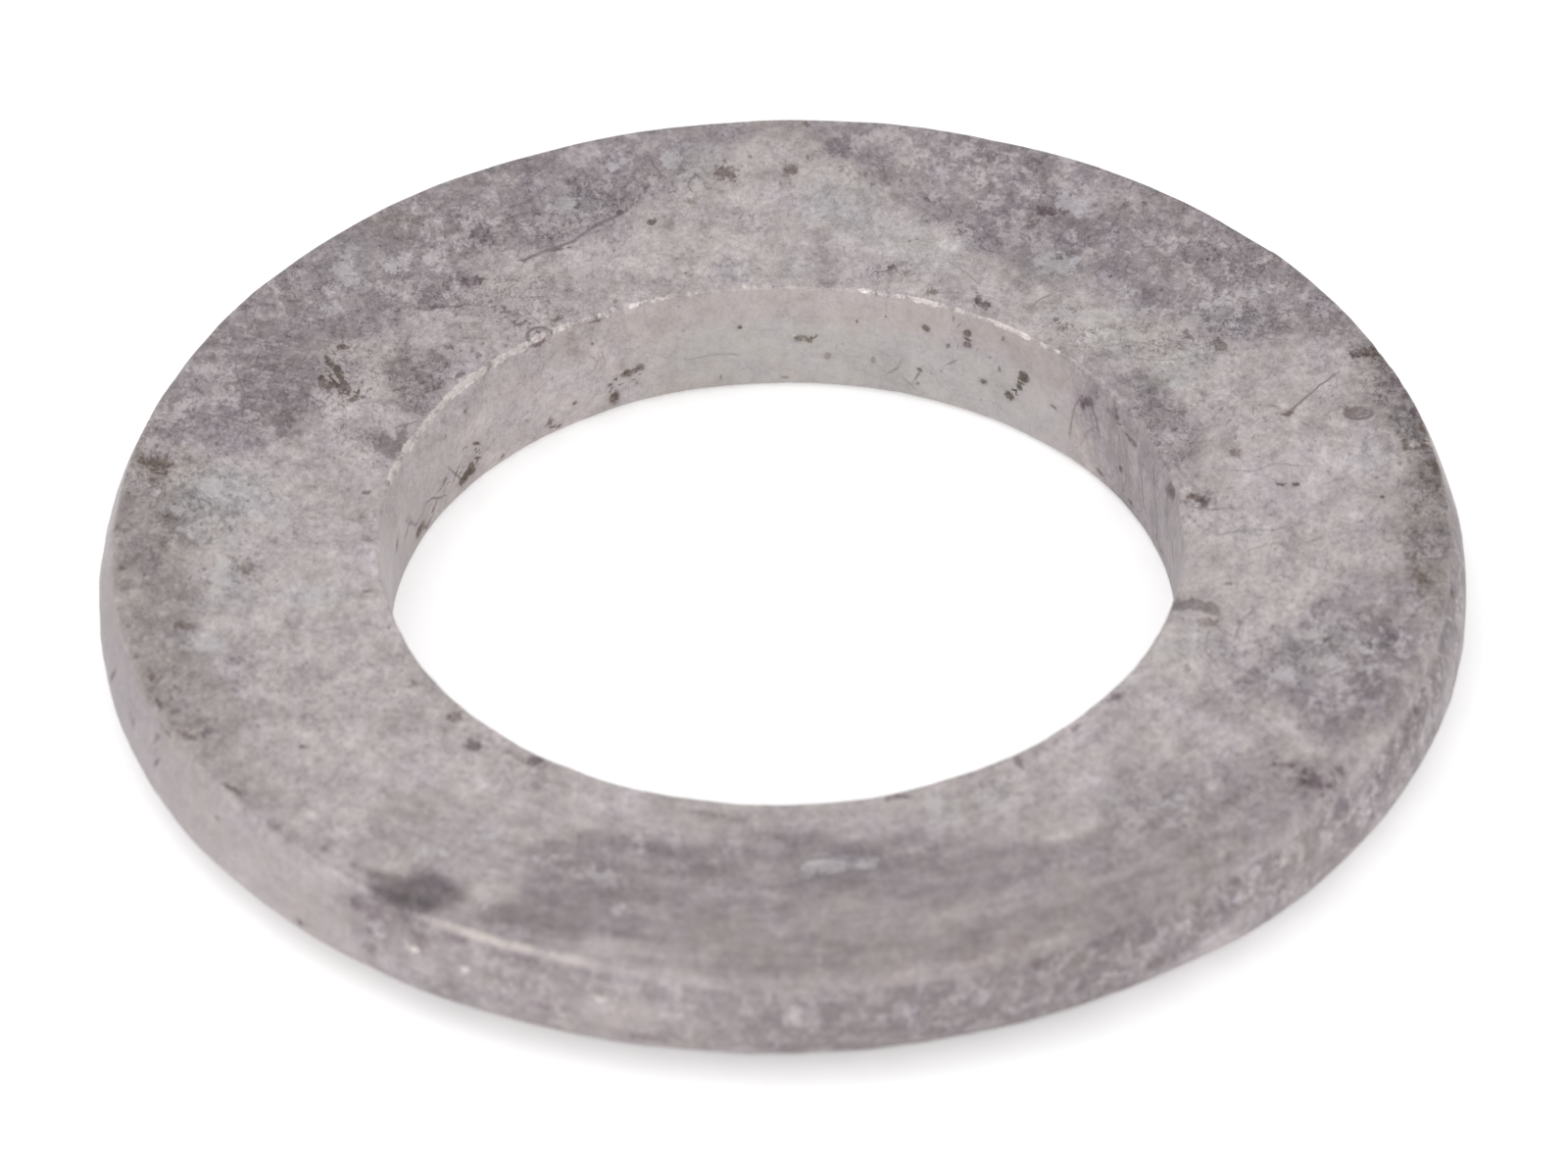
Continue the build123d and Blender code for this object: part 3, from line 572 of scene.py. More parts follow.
FLAKE_OUTER = [
    (242.0, 2.72, 0.26, 0.20, 0, 1.2), (237.0, 2.75, 0.24, 0.14, 0, 1.0), (254.0, 2.85, 0.18, 0.12, 0, 1.1),
    (246.0, 2.75, 0.3, 0.14, 0, 0.6), (233.0, 2.75, 0.3, 0.2, 0, 0.6), (261.5, 2.85, 0.5, 0.16, 0, 0.7),
    (250.6, 2.0, 0.35, 0.25, 0, 0.4), (270.5, 2.6, 0.35, 0.35, 0, 0.6), (279.5, 2.35, 0.45, 0.35, 0, 0.6),
    (283.5, 2.9, 0.3, 0.2, 0, 0.5), (297.0, 2.2, 0.4, 0.3, 0, 0.7), (303.0, 2.75, 0.3, 0.22, 0, 0.9),
    (308.0, 3.55, 0.4, 0.16, 0, 0.6), (311.5, 2.65, 0.5, 0.2, 0, 0.9), (313.2, 3.2, 0.25, 0.2, 0, 0.6),
    (318.6, 2.85, 0.2, 0.14, 0, 0.7), (323.6, 2.9, 0.4, 0.2, 0, 0.7), (327.3, 2.5, 0.35, 0.3, 0, 0.9),
    (331.0, 2.9, 0.3, 0.2, 0, 0.6), (341.0, 1.95, 0.4, 0.14, 0, 0.6), (344.0, 2.9, 0.3, 0.2, 0, 0.5),
    (290.0, 2.0, 0.4, 0.2, 0, 0.4), (266.0, 2.1, 0.35, 0.2, 0, 0.4), (335.0, 2.2, 0.3, 0.2, 0, 0.5),
]


def wall_xy(r0, cut):
    """Arc length and height, for marks on a wall of radius r0; degrees start from cut."""
    return ((DEG - cut) % 360 + cut) * (math.pi / 180 * r0), Z


def near_marks(field, x, y, where, rows_, r0=None, local=None):
    """The depth inside the nearest of many small marks, in mm. With local, also that mark's own
    coordinates (1 at its rim) and strength, which stay exact between vertices."""
    for cx, cy, a, b, rot, k in rows_:
        if r0 is not None:
            cx = cx * math.pi / 180 * r0
        d = ellipse(x, y, cx, cy, a, b, rot)
        if local is None:
            d = d + 0.10 * (k - 1)
        else:
            c, s = math.cos(math.radians(rot)), math.sin(math.radians(rot))
            win = where & (d > field)
            local[win, 0] = (((x - cx) * c + (y - cy) * s) / a)[win]
            local[win, 1] = ((-(x - cx) * s + (y - cy) * c) / b)[win]
            local[win, 2] = k
        field = np.where(where, np.maximum(field, d), field)
    return field


arc_b, z_b = wall_xy(RI, -100)
arc_o, z_o = wall_xy(RO, 100)
top_w, bore_w, outer_w = on_top, on_bore, on_outer

# on the walls the same idea, by angle
bore_dark = polygon(arc_b, z_b, [(a * math.pi / 180 * RI, z) for a, z in [
    (-26, -1), (-18, 1.4), (-24, 2.6), (-16, 5), (34, 5), (38.5, 3.6), (40.5, 2.9), (41.0, 2.0), (39.0, 1.2), (37.5, 0.6), (37.0, -1)]])
outer_dark = polygon(arc_o, z_o, [(a * math.pi / 180 * RO, z) for a, z in [
    (229.5, 5), (229.0, 3.2), (231, 2.9), (236, 2.8), (243, 3.3), (252, 3.3), (262, 3.3), (275, 2.9), (296, 3.0),
    (305, 2.2), (318, 2.2), (330, 2.4), (344, 2.7), (368, 2.6), (368, 5)]])

mark = np.full(R.shape, FAR)
for poly in MARK_TOP[:3]:
    mark = np.maximum(mark, polygon(X, Y, poly))
mark = np.where(top_w, mark, FAR)
mark = np.clip(mark, -1.0, 0.4)

spot = np.full(R.shape, FAR)
spot_local = np.full(R.shape + (3,), 9.0)
spot_local[..., 2] = 0.0
# the front is softly stained rather than spotted
SPOT_TOP = [(x, y, a, b, r, k * (0.4 if y < -12.9 and x < 14 else 1.0)) for x, y, a, b, r, k in SPOT_TOP]
spot = near_marks(spot, X, Y, top_w, SPOT_TOP, None, spot_local)
spot = near_marks(spot, arc_b, z_b, bore_w, SPOT_BORE, RI, spot_local)
spot = near_marks(spot, arc_o, z_o, outer_w, SPOT_OUTER, RO, spot_local)
spot = np.clip(spot, -0.6, 0.4)

flake = np.full(R.shape, FAR)
flake = near_marks(flake, X, Y, top_w, [(a, b, c, d, e, f) for a, b, c, d, e, f in FLAKE_TOP])
flake = near_marks(flake, arc_o, z_o, outer_w, [(a, b, c * 0.8, d * 0.8, e, f * 0.8) for a, b, c, d, e, f in FLAKE_OUTER], RO)
flake = np.clip(flake, -0.8, 0.5)

line = np.full(R.shape, 9.0)
line_side = np.full(R.shape + (3,), 9.0)          # signed distance, half width, strength
for hw, k, pts, x_, y_, w_ in (
    [(hw, k, pts, X, Y, top_w) for hw, k, pts in LINE_TOP]
    + [(hw, k, [(a * math.pi / 180 * RI, z) for a, z in pts], arc_b, z_b, bore_w) for hw, k, pts in LINE_BORE]
):
    d, sd = path_distance(x_, y_, pts)
    win = w_ & (d < line)
    line_side[win, 0], line_side[win, 1], line_side[win, 2] = sd[win], hw, k
    line = np.where(win, d, line)
line = np.clip(line, 0, 0.5)
line_side[..., 0] = np.clip(line_side[..., 0], -0.5, 0.5)

# bright flecks of bare zinc, painted with glints
fleck_glint = np.full(R.shape, FAR)
for cx, cy, a, b, rot in FLECK_TOP:
    fleck_glint = np.where(top_w, np.maximum(fleck_glint, ellipse(X, Y, cx, cy, a, b, rot)), fleck_glint)
for d_, z_, a, b in FLECK_BORE:
    fleck_glint = np.where(bore_w, np.maximum(fleck_glint, ellipse(arc_b, z_b, d_ * math.pi / 180 * RI, z_, a, b)), fleck_glint)
for d_, z_, a, b, rot, k in FLAKE_OUTER[:3]:
    fleck_glint = np.where(outer_w, np.maximum(fleck_glint, ellipse(arc_o, z_o, d_ * math.pi / 180 * RO, z_, a * 0.75, b * 0.75)), fleck_glint)
fleck_glint = np.clip(fleck_glint, -0.4, 0.2)


def soft(list_, where, base=0.0):
    out = np.full(R.shape, base)
    for cx, cy, a, b, rot, k in list_:
        out = out + blob(X, Y, cx, cy, a, b, rot, k)
    return np.where(where, out, 0.0)


def soft(list_, where, x, y, base=0.0):
    out = np.full(R.shape, base)
    for cx, cy, a, b, rot, k in list_:
        out = out + blob(x, y, cx, cy, a, b, rot, k)
    return np.where(where, out, 0.0)


def wrap(a):
    return (a + 180) % 360 - 180


def arc_band(r0, r1, a0, a1, soft_r, soft_a=8.0):
    """1 between two radii and two angles of the upper face, with soft sides."""
    m = step(r0 - soft_r, r0 + soft_r, RW) * (1 - step(r1 - soft_r, r1 + soft_r, RW))
    mid_, half = (a0 + a1) / 2, (a1 - a0) / 2
    d = np.abs(wrap(DEG - mid_))
    return m * (1 - step(half - soft_a / 2, half + soft_a / 2, d))


hidden = (on_outer & (DEG > 2) & (DEG < 176)) | np.broadcast_to(is_bottom, R.shape)
# ragged outlines: places are looked up a little off, by layered noise
w1, w2 = fbm(P, 2.4, 4, 201, 0.62), fbm(P, 2.4, 4, 203, 0.62)
XW, YW = X + 0.34 * w1, Y + 0.34 * w2
RW = np.hypot(XW, YW)
slow = fbm(P, 6.0, 3, 71)

# tone is how light the zinc looks, 0 to 255; hue runs from olive (-1) to mauve (+1)
tone = np.full(R.shape, 172.5) + 3.0 * slow
hue = np.full(R.shape, -0.1) + 0.5 * fbm(P, 4.0, 3, 73)
cool = soft(COOL_TOP, top_w, XW, YW)
pale = np.clip(soft(PALE_TOP, top_w, XW, YW), 0, 1.2)
tone += 8.0 * pale + 3.0 * np.clip(cool, 0, 1)


def paint(mask, level, tint, alpha=1.0):
    global tone, hue
    m = np.clip(mask * alpha, 0, 1)
    tone = tone + (level - tone) * m
    hue = hue + (tint - hue) * m


# bands that follow the edge
paint(arc_band(19.2, 23, 160, 208, 0.7, 16) * top_w, 148, -0.8, 0.85)
paint(arc_band(19.9, 23, -26, 24, 0.5, 12) * top_w, 150, -0.5, 0.75)
paint(arc_band(17.4, 23, 255, 318, 0.9, 18) * top_w, 150, 0.1, 0.85)
# along the back outer edge: a thin band of painted shade on the rounded edge
paint(arc_band(20.7, 23, 20, 150, 0.35, 20) * top_w, 146, 0.4, 0.6)
paint(arc_band(20.4, 23, -9, 10, 0.35, 5) * top_w, 130, -0.7, 0.75)
paint(arc_band(20.3, 23, 262, 306, 0.5, 14) * top_w, 142, 0.2, 0.7)
paint(arc_band(20.9, 23, 8, 32, 0.3, 5) * top_w * step(-0.35, 0.25, fbm(P, 0.9, 3, 91)), 124, 0.3, 0.8)
paint(arc_band(20.6, 23, 14, 30, 0.3, 5) * top_w * step(0.05, 0.45, fbm(P, 0.7, 3, 93)), 118, 0.2, 0.8)
for (level, tint, sft, alpha), poly in zip(DARK_LOOK, DARK_TOP):
    sf = sft if not callable(sft) else sft(X, Y)
    d = polygon(XW, YW, poly)
    paint(step(-1, 1, d / sf) * top_w, level, tint, alpha)
deep = soft(DEEP_TOP, top_w, XW, YW)
tone -= 15.0 * np.clip(deep, 0, 1)
ol = np.clip(soft(OLIVE_TOP, top_w, XW, YW), 0, 1) * step(-0.7, 0.5, fbm(P, 1.1, 3, 75))
paint(ol, 139, -1.0, 0.62)
for level, tint, cx, cy, a_, b_, rot_, k_ in TOUCH_TOP:
    paint(blob(XW, YW, cx, cy, a_, b_, rot_, 1.0) * top_w, level, tint, k_)

tone += np.where(top_w, 4.0 * fbm(P, 3.2, 2, 95) + 2.5 * fbm(P, 1.5, 2, 97), 0)
flaky = np.full(R.shape, 0.9) + 0.5 * fbm(P, 4.0, 2, 99)
flaky = flaky + soft(FLAKY_TOP, top_w, XW, YW)
flaky = np.where(outer_w, 0.45 + 1.3 * band(DEG, 238, 358, 16), flaky)
flaky = np.where(hidden, 1.0, flaky)
flaky = np.where(bore_w, 0.35, flaky)
flaky = np.clip(flaky, 0.2, 2.2)
scribble = np.clip(soft(SCRIBBLE_TOP, top_w, XW, YW), 0, 1.2)
# the dent by the front-left edge is painted dark and smooth, greyer in its middle: partly a stain, partly painted shade
# of the hollow
dent = ellipse(X + 0.10 * w1, Y + 0.10 * w2, -11.85, -17.0, 1.42, 0.86, -8)
paint(step(-0.40, 0.30, dent) * top_w, 98, 0.9, 0.95)
paint(blob(X, Y, -11.7, -16.9, 0.60, 0.30, -8, 1.0) * top_w, 122, 0.0, 0.8)
paint(blob(X, Y, -12.9, -16.2, 0.6, 0.26, -30, 1.0) * top_w, 104, 0.8, 0.7)
paint(blob(X, Y, -13.4, -17.3, 0.7, 0.35, -40, 1.0) * (top_w | outer_w), 128, 1.2, 0.7)

# the bore wall
zb = np.where(on_bore, Z, 0)
tb = 172.0 + 2.5 * slow + 2.0 * fbm(P, 2.0, 2, 77)
tb = tb - 2 * band(DEG, 60, 112, 24) * step(3.2, 2.6, Z) + 3 * step(2.7, 3.1, Z) 
tb = tb - 6 * band(DEG, 150, 176, 16)
tone = np.where(bore_w, tb, tone)
# the bore wall is painted a little lighter towards the bottom: painted light against the shade low in the hole
tone = np.where(bore_w, tone + 1 + 3 * step(1.6, 0.2, Z) - 8 * step(2.6, 3.0, Z) * band(DEG, 20, 140, 20), tone)
hue = np.where(bore_w, -0.3 + 0.3 * slow - 0.4 * band(DEG, 60, 112, 24), hue)
cool = np.where(bore_w, 0.9 * band(DEG, 45, 108, 18) * step(3.2, 2.4, Z) + 0.3 * band(DEG, 108, 130, 10) * step(2.8, 1.8, Z), cool)
bd = step(-0.5, 0.5, bore_dark + 0.45 * w1)
paint(bd * bore_w, 148, 0.8, 0.9)
hb = bore_w * band(DEG, 186, 334, 14)
paint(hb * step(-0.2, 0.5, fbm(P, 4.0, 3, 63)), 150, 0.6, 0.8)

# the outer wall
# the bands at 180 to 203 degrees (darker) and 214 to 226 degrees (lighter) are painted shade and painted light on those
# sides of the wall
to = 163.0 + 4 * slow - 13 * band(DEG, 180, 203, 10) + 4 * band(DEG, 214, 226, 8)
tone = np.where(outer_w, to, tone)
hue = np.where(outer_w, 0.3 + 0.4 * slow, hue)
cool = np.where(outer_w, 0.1, cool)
paint(outer_w * band(DEG, 234, 362, 12) * step(-0.9, 0.3, fbm(P, 2.2, 4, 81)), 146, 0.5, 0.85)
# the front band from 266 to 302 degrees is painted shade
paint(outer_w * band(DEG, 266, 302, 12), 128, 0.5, 0.85)
paint(outer_w * step(-0.5, 0.5, outer_dark + 0.4 * w1), 136, 0.4, 0.6)
# the lower, rolled part of the wall from the front-left round to the right is painted darker: painted shade under the
# roll
paint(outer_w * step(0.9, 0.2, Z) * band(DEG, 225, 362, 12), 146, 0.3, 0.5)
hid = step(-0.5, 0.4, fbm(P, 6.0, 4, 61))
paint(outer_w * (DEG > 2) * (DEG < 176) * hid, 148, 0.4, 0.8)
is_bot = np.broadcast_to(is_bottom, R.shape)
tone = np.where(is_bot, 168 + 6 * slow, tone)
hue = np.where(is_bot, 0.2 * slow, hue)
paint(is_bot * hid, 147, 0.5, 0.8)
paint(is_bot * step(0.1, 0.8, fbm(P, 5.0, 3, 83)), 142, -0.8, 0.6)

dark = np.clip((166 - tone) / 28, 0, 1)
calm = np.ones(R.shape)
calm -= 0.42 * np.clip(blob(X, Y, 0, -19, 14, 7, 0, 1.3), 0, 1) * (top_w | outer_w)
calm = np.where(bore_w, 0.5 + 0.3 * band(DEG, 108, 176, 14) + 0.4 * band(DEG, -30, 41, 8), calm)
calm = np.where(outer_w & (DEG > 180) & (DEG < 232), 0.6, calm)
# brushed by handling: fine parallel lines on the left and on the right
brushed = (blob(X, Y, -15.6, 10.0, 2.4, 3.0, 0, 1.0) + blob(X, Y, 12.6, 9.4, 2.4, 1.6, 0, 0.6)
           + blob(X, Y, -18.6, 5.8, 2.0, 1.6, 0, 0.6))
brushed = np.where(top_w, np.clip(brushed, 0, 1), 0.0)

# ------------------------------------------------------------------ relief, along the normals
h = np.zeros(R.shape)
h += 0.022 * fbm(P, 5.0, 2, 101)                              # zinc run, slow
h += 0.008 * fbm(P, 1.3, 3, 103)                              # lumps
h += np.where(on_outer, 0.020 * fbm(P, 1.8, 3, 105), 0.0)
h += np.where(np.broadcast_to(is_torn, R.shape), 0.022 * fbm(P * np.array([1, 1, 0.45]), 0.7, 3, 107), 0.0)
h += np.where(np.broadcast_to(is_bore, R.shape), 0.005 * fbm(P * np.array([1, 1, 0.1]), 0.35, 2, 109), 0.0)
h -= 0.035 * step(-0.03, 0.16, spot)                          # pits
h -= 0.10 * step(-0.15, 0.30, polygon(X, Y, MARK_TOP[3])) * top_w     # the dent by the edge
h -= 0.05 * step(-0.15, 0.25, polygon(X, Y, MARK_TOP[1])) * top_w
h += 0.010 * step(-0.10, 0.10, flake)                         # raised flakes
h -= 0.010 * step(0.10, 0.02, line)                           # scratches
h -= 0.008 * dark * top_w
h = np.where(np.broadcast_to(is_bottom, R.shape), np.minimum(h, 0.0) * 0.5 - 0.004, h)

# an oval ring-shaped pit and a small blister by the rim
pit = np.sqrt(((X - 18.62) / 0.46) ** 2 + ((Y - 5.92) / 0.34) ** 2)
h -= np.where(top_w, 0.03 * np.exp(-((pit - 0.85) / 0.22) ** 2) - 0.008 * np.exp(-(pit / 0.5) ** 2), 0)
blister = np.sqrt(((X + 7.72) / 0.40) ** 2 + ((Y - 10.62) / 0.46) ** 2)
h += np.where(top_w | (on_bore & (Z > 3.5)), 0.035 * np.exp(-(blister / 0.9) ** 4), 0)
blister_line = np.where(top_w, 0.42 * (blister - 1.0), 9.0)
win = top_w & (np.abs(blister_line) < line)
line_side[win, 0], line_side[win, 1], line_side[win, 2] = blister_line[win], 0.045, 0.95
line = np.where(win, np.abs(blister_line), line)

# burr along the upper rim of the bore; its bright line is bare zinc painted with a highlight
rim_d = np.hypot(R - (RI + flare + 0.04), Z - T)
burr_h = burr[None, :] * np.exp(-(rim_d / (0.09 + 0.09 * band(deg, 112, 165, 10)[None, :])) ** 2)
h += 0.075 * burr_h
burr_highlight = burr[None, :] * step((0.16 + 0.09 * band(deg, 112, 165, 10))[None, :], 0.02, rim_d)

# bright line along the upper outer edge, front left: zinc worn bare, painted with a highlight
wear_and_highlight_amount = np.clip(band(deg, 240, 250, 9) * 1.1 + 0.25 * band(deg, 205, 240, 10) + 0.12, 0, 1) * step(-0.75, 0.1, round_noise(1.6, 4, 121, 21.5) + 0.5 * band(deg, 240, 250, 9))
edge_d = np.hypot(R - (RO - inset - 0.05), Z - T)
wear_and_highlight = wear_and_highlight_amount[None, :] * step(0.30, 0.03, edge_d)

P2 = P + NRM * h[..., None]
P2[..., 2] = np.maximum(P2[..., 2], 0.0)

# ------------------------------------------------------------------ mesh
verts = (P2.reshape(-1, 3) * 0.001)
j, i = np.meshgrid(np.arange(NR), np.arange(NT), indexing="ij")
j1, i1 = (j + 1) % NR, (i + 1) % NT
quads = np.stack([j * NT + i, j * NT + i1, j1 * NT + i1, j1 * NT + i], -1).reshape(-1, 4)
# orient outward
v0, v1, v3 = verts[quads[:, 0]], verts[quads[:, 1]], verts[quads[:, 3]]
fn = np.cross(v1 - v0, v3 - v0)
sample = mid_row * NT
if fn[sample, 2] < 0:
    quads = quads[:, ::-1]
me = bpy.data.meshes.new("washer_ring")
me.vertices.add(len(verts))
me.vertices.foreach_set("co", verts.astype(np.float32).ravel())
me.loops.add(quads.size)
me.loops.foreach_set("vertex_index", quads.astype(np.int32).ravel())
me.polygons.add(len(quads))
me.polygons.foreach_set("loop_start", (np.arange(len(quads)) * 4).astype(np.int32))
me.polygons.foreach_set("use_smooth", np.ones(len(quads), bool))
me.update(calc_edges=True)
me.validate()


def attr(name, values):
    if values.shape[-1] == 3 and values.ndim == 3:
        a = me.attributes.new(name, "FLOAT_VECTOR", "POINT")
        a.data.foreach_set("vector", np.ascontiguousarray(values, dtype=np.float32).ravel())
    else:
        a = me.attributes.new(name, "FLOAT", "POINT")
        a.data.foreach_set("value", np.ascontiguousarray(values, dtype=np.float32).ravel())


attr("tone", tone)
attr("hue", np.clip(hue, -1.5, 1.5))
attr("cool", np.clip(cool, 0, 1.2))
attr("calm", calm)
attr("flaky", flaky)
attr("inbore", bore_w * 1.0)
attr("swirl", np.where(top_w | outer_w, np.clip(1.15 * band(DEG, 222, 322, 40), 0, 1), 0) * np.where(outer_w, 0.6, 1.0))
attr("streak", np.where(bore_w, band(DEG, -30, 41, 8) + 0.25, 0.0))
attr("scribble", scribble)
attr("mark", mark)
attr("spot", spot)
attr("spot_local", np.clip(spot_local, -9, 9))
attr("line_side", line_side)
attr("flake", flake)
attr("line", line)
attr("fleck_glint", fleck_glint)
attr("brushed", brushed)
attr("burr", np.where(on_top | on_bore, burr_highlight, 0))
attr("wear_and_highlight", np.where(on_top | on_outer, wear_and_highlight, 0))

piece = bpy.data.objects.new("washer_ring", me)
bpy.context.scene.collection.objects.link(piece)

# a map of its own for the baked pictures: the turn cut in two strips, the unseen lower face at half scale
STRIPS = 2
seg = np.linalg.norm(np.roll(P, -1, 0)[:, 0] - P[:, 0], axis=-1)
seg = np.where((kind == "bottom") | (np.arange(NR) == NR - 1), seg * 0.5, seg)
prof = np.concatenate([[0], np.cumsum(seg)])
prof = prof / prof[-1]
qi, qj = i.ravel(), j.ravel()
strip = qi // (NT // STRIPS)
u0 = (qi % (NT // STRIPS)) / (NT // STRIPS)
u1 = u0 + STRIPS / NT
PAD = 0.004


def place(u, v):
    return PAD + u * (1 - 2 * PAD), (strip + PAD * STRIPS + v * (1 - 2 * PAD * STRIPS)) / STRIPS


corner = [place(u0, prof[qj]), place(u1, prof[qj]), place(u1, prof[qj + 1]), place(u0, prof[qj + 1])]
uv = np.stack([np.stack(c, -1) for c in corner], 1)          # (faces, 4, 2)
if fn[sample, 2] < 0:
    uv = uv[:, ::-1]
layer = me.uv_layers.new(name="OFBake")
layer.data.foreach_set("uv", np.ascontiguousarray(uv, dtype=np.float32).ravel())


# ------------------------------------------------------------------ node helpers
class Net:
    def __init__(self, name):
        self.mat = bpy.data.materials.new(name)
        self.mat.use_nodes = True
        self.t = self.mat.node_tree
        self.t.nodes.clear()

    def new(self, kind_, **props):
        n = self.t.nodes.new(kind_)
        for k, v in props.items():
            setattr(n, k, v)
        return n

    def put(self, socket, value):
        if isinstance(value, bpy.types.NodeSocket):
            self.t.links.new(value, socket)
        elif value is not None:
            socket.default_value = value

    def math(self, op, a, b=None, c=None, clamp=False):
        n = self.new("ShaderNodeMath", operation=op, use_clamp=clamp)
        self.put(n.inputs[0], a)
        if b is not None:
            self.put(n.inputs[1], b)
        if c is not None:
            self.put(n.inputs[2], c)
        return n.outputs[0]

    def add(self, a, b): return self.math("ADD", a, b)
    def sub(self, a, b): return self.math("SUBTRACT", a, b)
    def mul(self, a, b): return self.math("MULTIPLY", a, b)
    def mad(self, a, b, c): return self.math("MULTIPLY_ADD", a, b, c)
    def max(self, a, b): return self.math("MAXIMUM", a, b)
    def min(self, a, b): return self.math("MINIMUM", a, b)

    def step(self, x, lo, hi, out0=0.0, out1=1.0):
        n = self.new("ShaderNodeMapRange", interpolation_type="SMOOTHSTEP")
        self.put(n.inputs["Value"], x)
        self.put(n.inputs["From Min"], lo)
        self.put(n.inputs["From Max"], hi)
        self.put(n.inputs["To Min"], out0)
        self.put(n.inputs["To Max"], out1)
        return n.outputs["Result"]

    def vec(self, op, a, b=None, scale=None):
        n = self.new("ShaderNodeVectorMath", operation=op)
        self.put(n.inputs[0], a)
        if b is not None:
            self.put(n.inputs[1], b)
        if scale is not None:
            self.put(n.inputs["Scale"], scale)
        return n.outputs["Value"] if op in ("LENGTH", "DOT_PRODUCT") else n.outputs["Vector"]

    def noise(self, p, scale, detail=2.0, rough=0.5, distort=0.0, colour=False):
        n = self.new("ShaderNodeTexNoise")
        self.put(n.inputs["Vector"], p)
        n.inputs["Scale"].default_value = scale
        n.inputs["Detail"].default_value = detail
        n.inputs["Roughness"].default_value = rough
        n.inputs["Distortion"].default_value = distort
        return n.outputs["Color"] if colour else n.outputs["Fac"]

    def voronoi(self, p, scale, feature="F1", rand=1.0, out="Distance"):
        n = self.new("ShaderNodeTexVoronoi", feature=feature)
        self.put(n.inputs["Vector"], p)
        n.inputs["Scale"].default_value = scale
        n.inputs["Randomness"].default_value = rand
        return n.outputs[out]

    def attr(self, name, vector=False):
        n = self.new("ShaderNodeAttribute", attribute_name=name)
        return n.outputs["Vector"] if vector else n.outputs["Fac"]

    def mix(self, fac, a, b):
        n = self.new("ShaderNodeMix", data_type="RGBA", blend_type="MIX", clamp_factor=True)
        self.put(n.inputs["Factor"], fac)
        self.put(n.inputs[6], a)
        self.put(n.inputs[7], b)
        return n.outputs[2]

    def mixf(self, fac, a, b):
        n = self.new("ShaderNodeMix", data_type="FLOAT", clamp_factor=True)
        self.put(n.inputs["Factor"], fac)
        self.put(n.inputs[2], a)
        self.put(n.inputs[3], b)
        return n.outputs[0]

    def gain(self, colour, k):
        n = self.new("ShaderNodeVectorMath", operation="SCALE")
        self.put(n.inputs[0], colour)
        self.put(n.inputs["Scale"], k)
        return n.outputs["Vector"]


LIGHT = 1.10         # light arriving on the ring, so that a tone shows as written

# ------------------------------------------------------------------ weathered zinc
n = Net("weathered_zinc")
raw = n.vec("SCALE", n.new("ShaderNodeTexCoord").outputs["Object"], scale=1000.0)
mm = n.vec("MULTIPLY", raw, (1.0, 0.76, 1.0))                 # the grain runs a little along y


def at(x, y, z):
    return n.vec("ADD", mm, (x, y, z))


def mid(f):
    return n.sub(f, 0.5)


multi = mid(n.noise(mm, 0.95, 4, 0.98))                       # five equal octaves, 1 mm to 0.07 mm
edge = n.noise(at(31, 7, 3), 3.6, 3, 0.7)
fine = mid(edge)
broad = n.noise(at(5, 17, 9), 0.9, 3, 0.6)
flk = n.noise(at(3, 3, 50), 1.75, 3, 0.62, 0.35)
tone_a, hue_a, cool_a, calm_a = n.attr("tone"), n.attr("hue"), n.attr("cool"), n.attr("calm")
dark_f = n.step(tone_a, 166, 140)

L = n.mul(multi, 160.0)
# pale scales in the stains, faint dark freckles in the clean zinc
flk2 = n.noise(at(9, 30, 12), 3.9, 2, 0.6, 0.5)
scales = n.add(n.mul(n.step(flk, 0.525, 0.560), 18.0), n.mul(n.step(flk2, 0.53, 0.56), 11.0))
freckles = n.add(n.mul(n.step(flk, 0.43, 0.36), -10.0), n.mul(n.step(flk2, 0.42, 0.35), -10.0))
L = n.add(L, n.mul(n.mixf(dark_f, freckles, n.sub(scales, 9.0)), n.attr("flaky")))
# small dark squiggles, and grains that sit in the clean zinc
sq = n.noise(at(44, 2, 6), 2.4, 3, 0.62, 0.9)
worm = n.mul(n.step(n.math("ABSOLUTE", n.sub(sq, 0.5)), 0.040, 0.010), n.step(n.add(edge, n.mul(n.attr("scribble"), 0.26)), 0.58, 0.68))
L = n.sub(L, n.mul(n.mul(worm, calm_a), 34.0))
gr = n.new("ShaderNodeTexVoronoi", feature="F1")
n.put(gr.inputs["Vector"], at(1.7, 2.9, 0.4))
gr.inputs["Scale"].default_value = 3.1
gp = n.new("ShaderNodeSeparateColor")
n.put(gp.inputs[0], gr.outputs["Color"])
grains = n.mul(n.step(n.add(gr.outputs["Distance"], n.mul(fine, 0.30)), n.step(gp.outputs[1], 0.5, 1.0, 0.16, 0.34), 0.04), n.step(gp.outputs[0], 0.62, 0.72))
L = n.sub(L, n.mul(n.mul(grains, calm_a), n.mixf(n.step(broad, 0.40, 0.58), 10.0, 30.0)))
# crackle between scales
cells = n.new("ShaderNodeTexVoronoi", feature="DISTANCE_TO_EDGE")
n.put(cells.inputs["Vector"], n.vec("ADD", mm, n.vec("SCALE", n.noise(mm, 2.6, 2, 0.6, colour=True), scale=0.42)))
cells.inputs["Scale"].default_value = 2.3
crackle = n.mul(n.step(cells.outputs[0], 0.075, 0.0), n.step(broad, 0.42, 0.60, 0.12, 1.0))
L = n.sub(L, n.mul(crackle, n.add(14.0, n.mul(dark_f, 7.0))))
L = n.mul(L, calm_a)
L = n.add(L, tone_a)

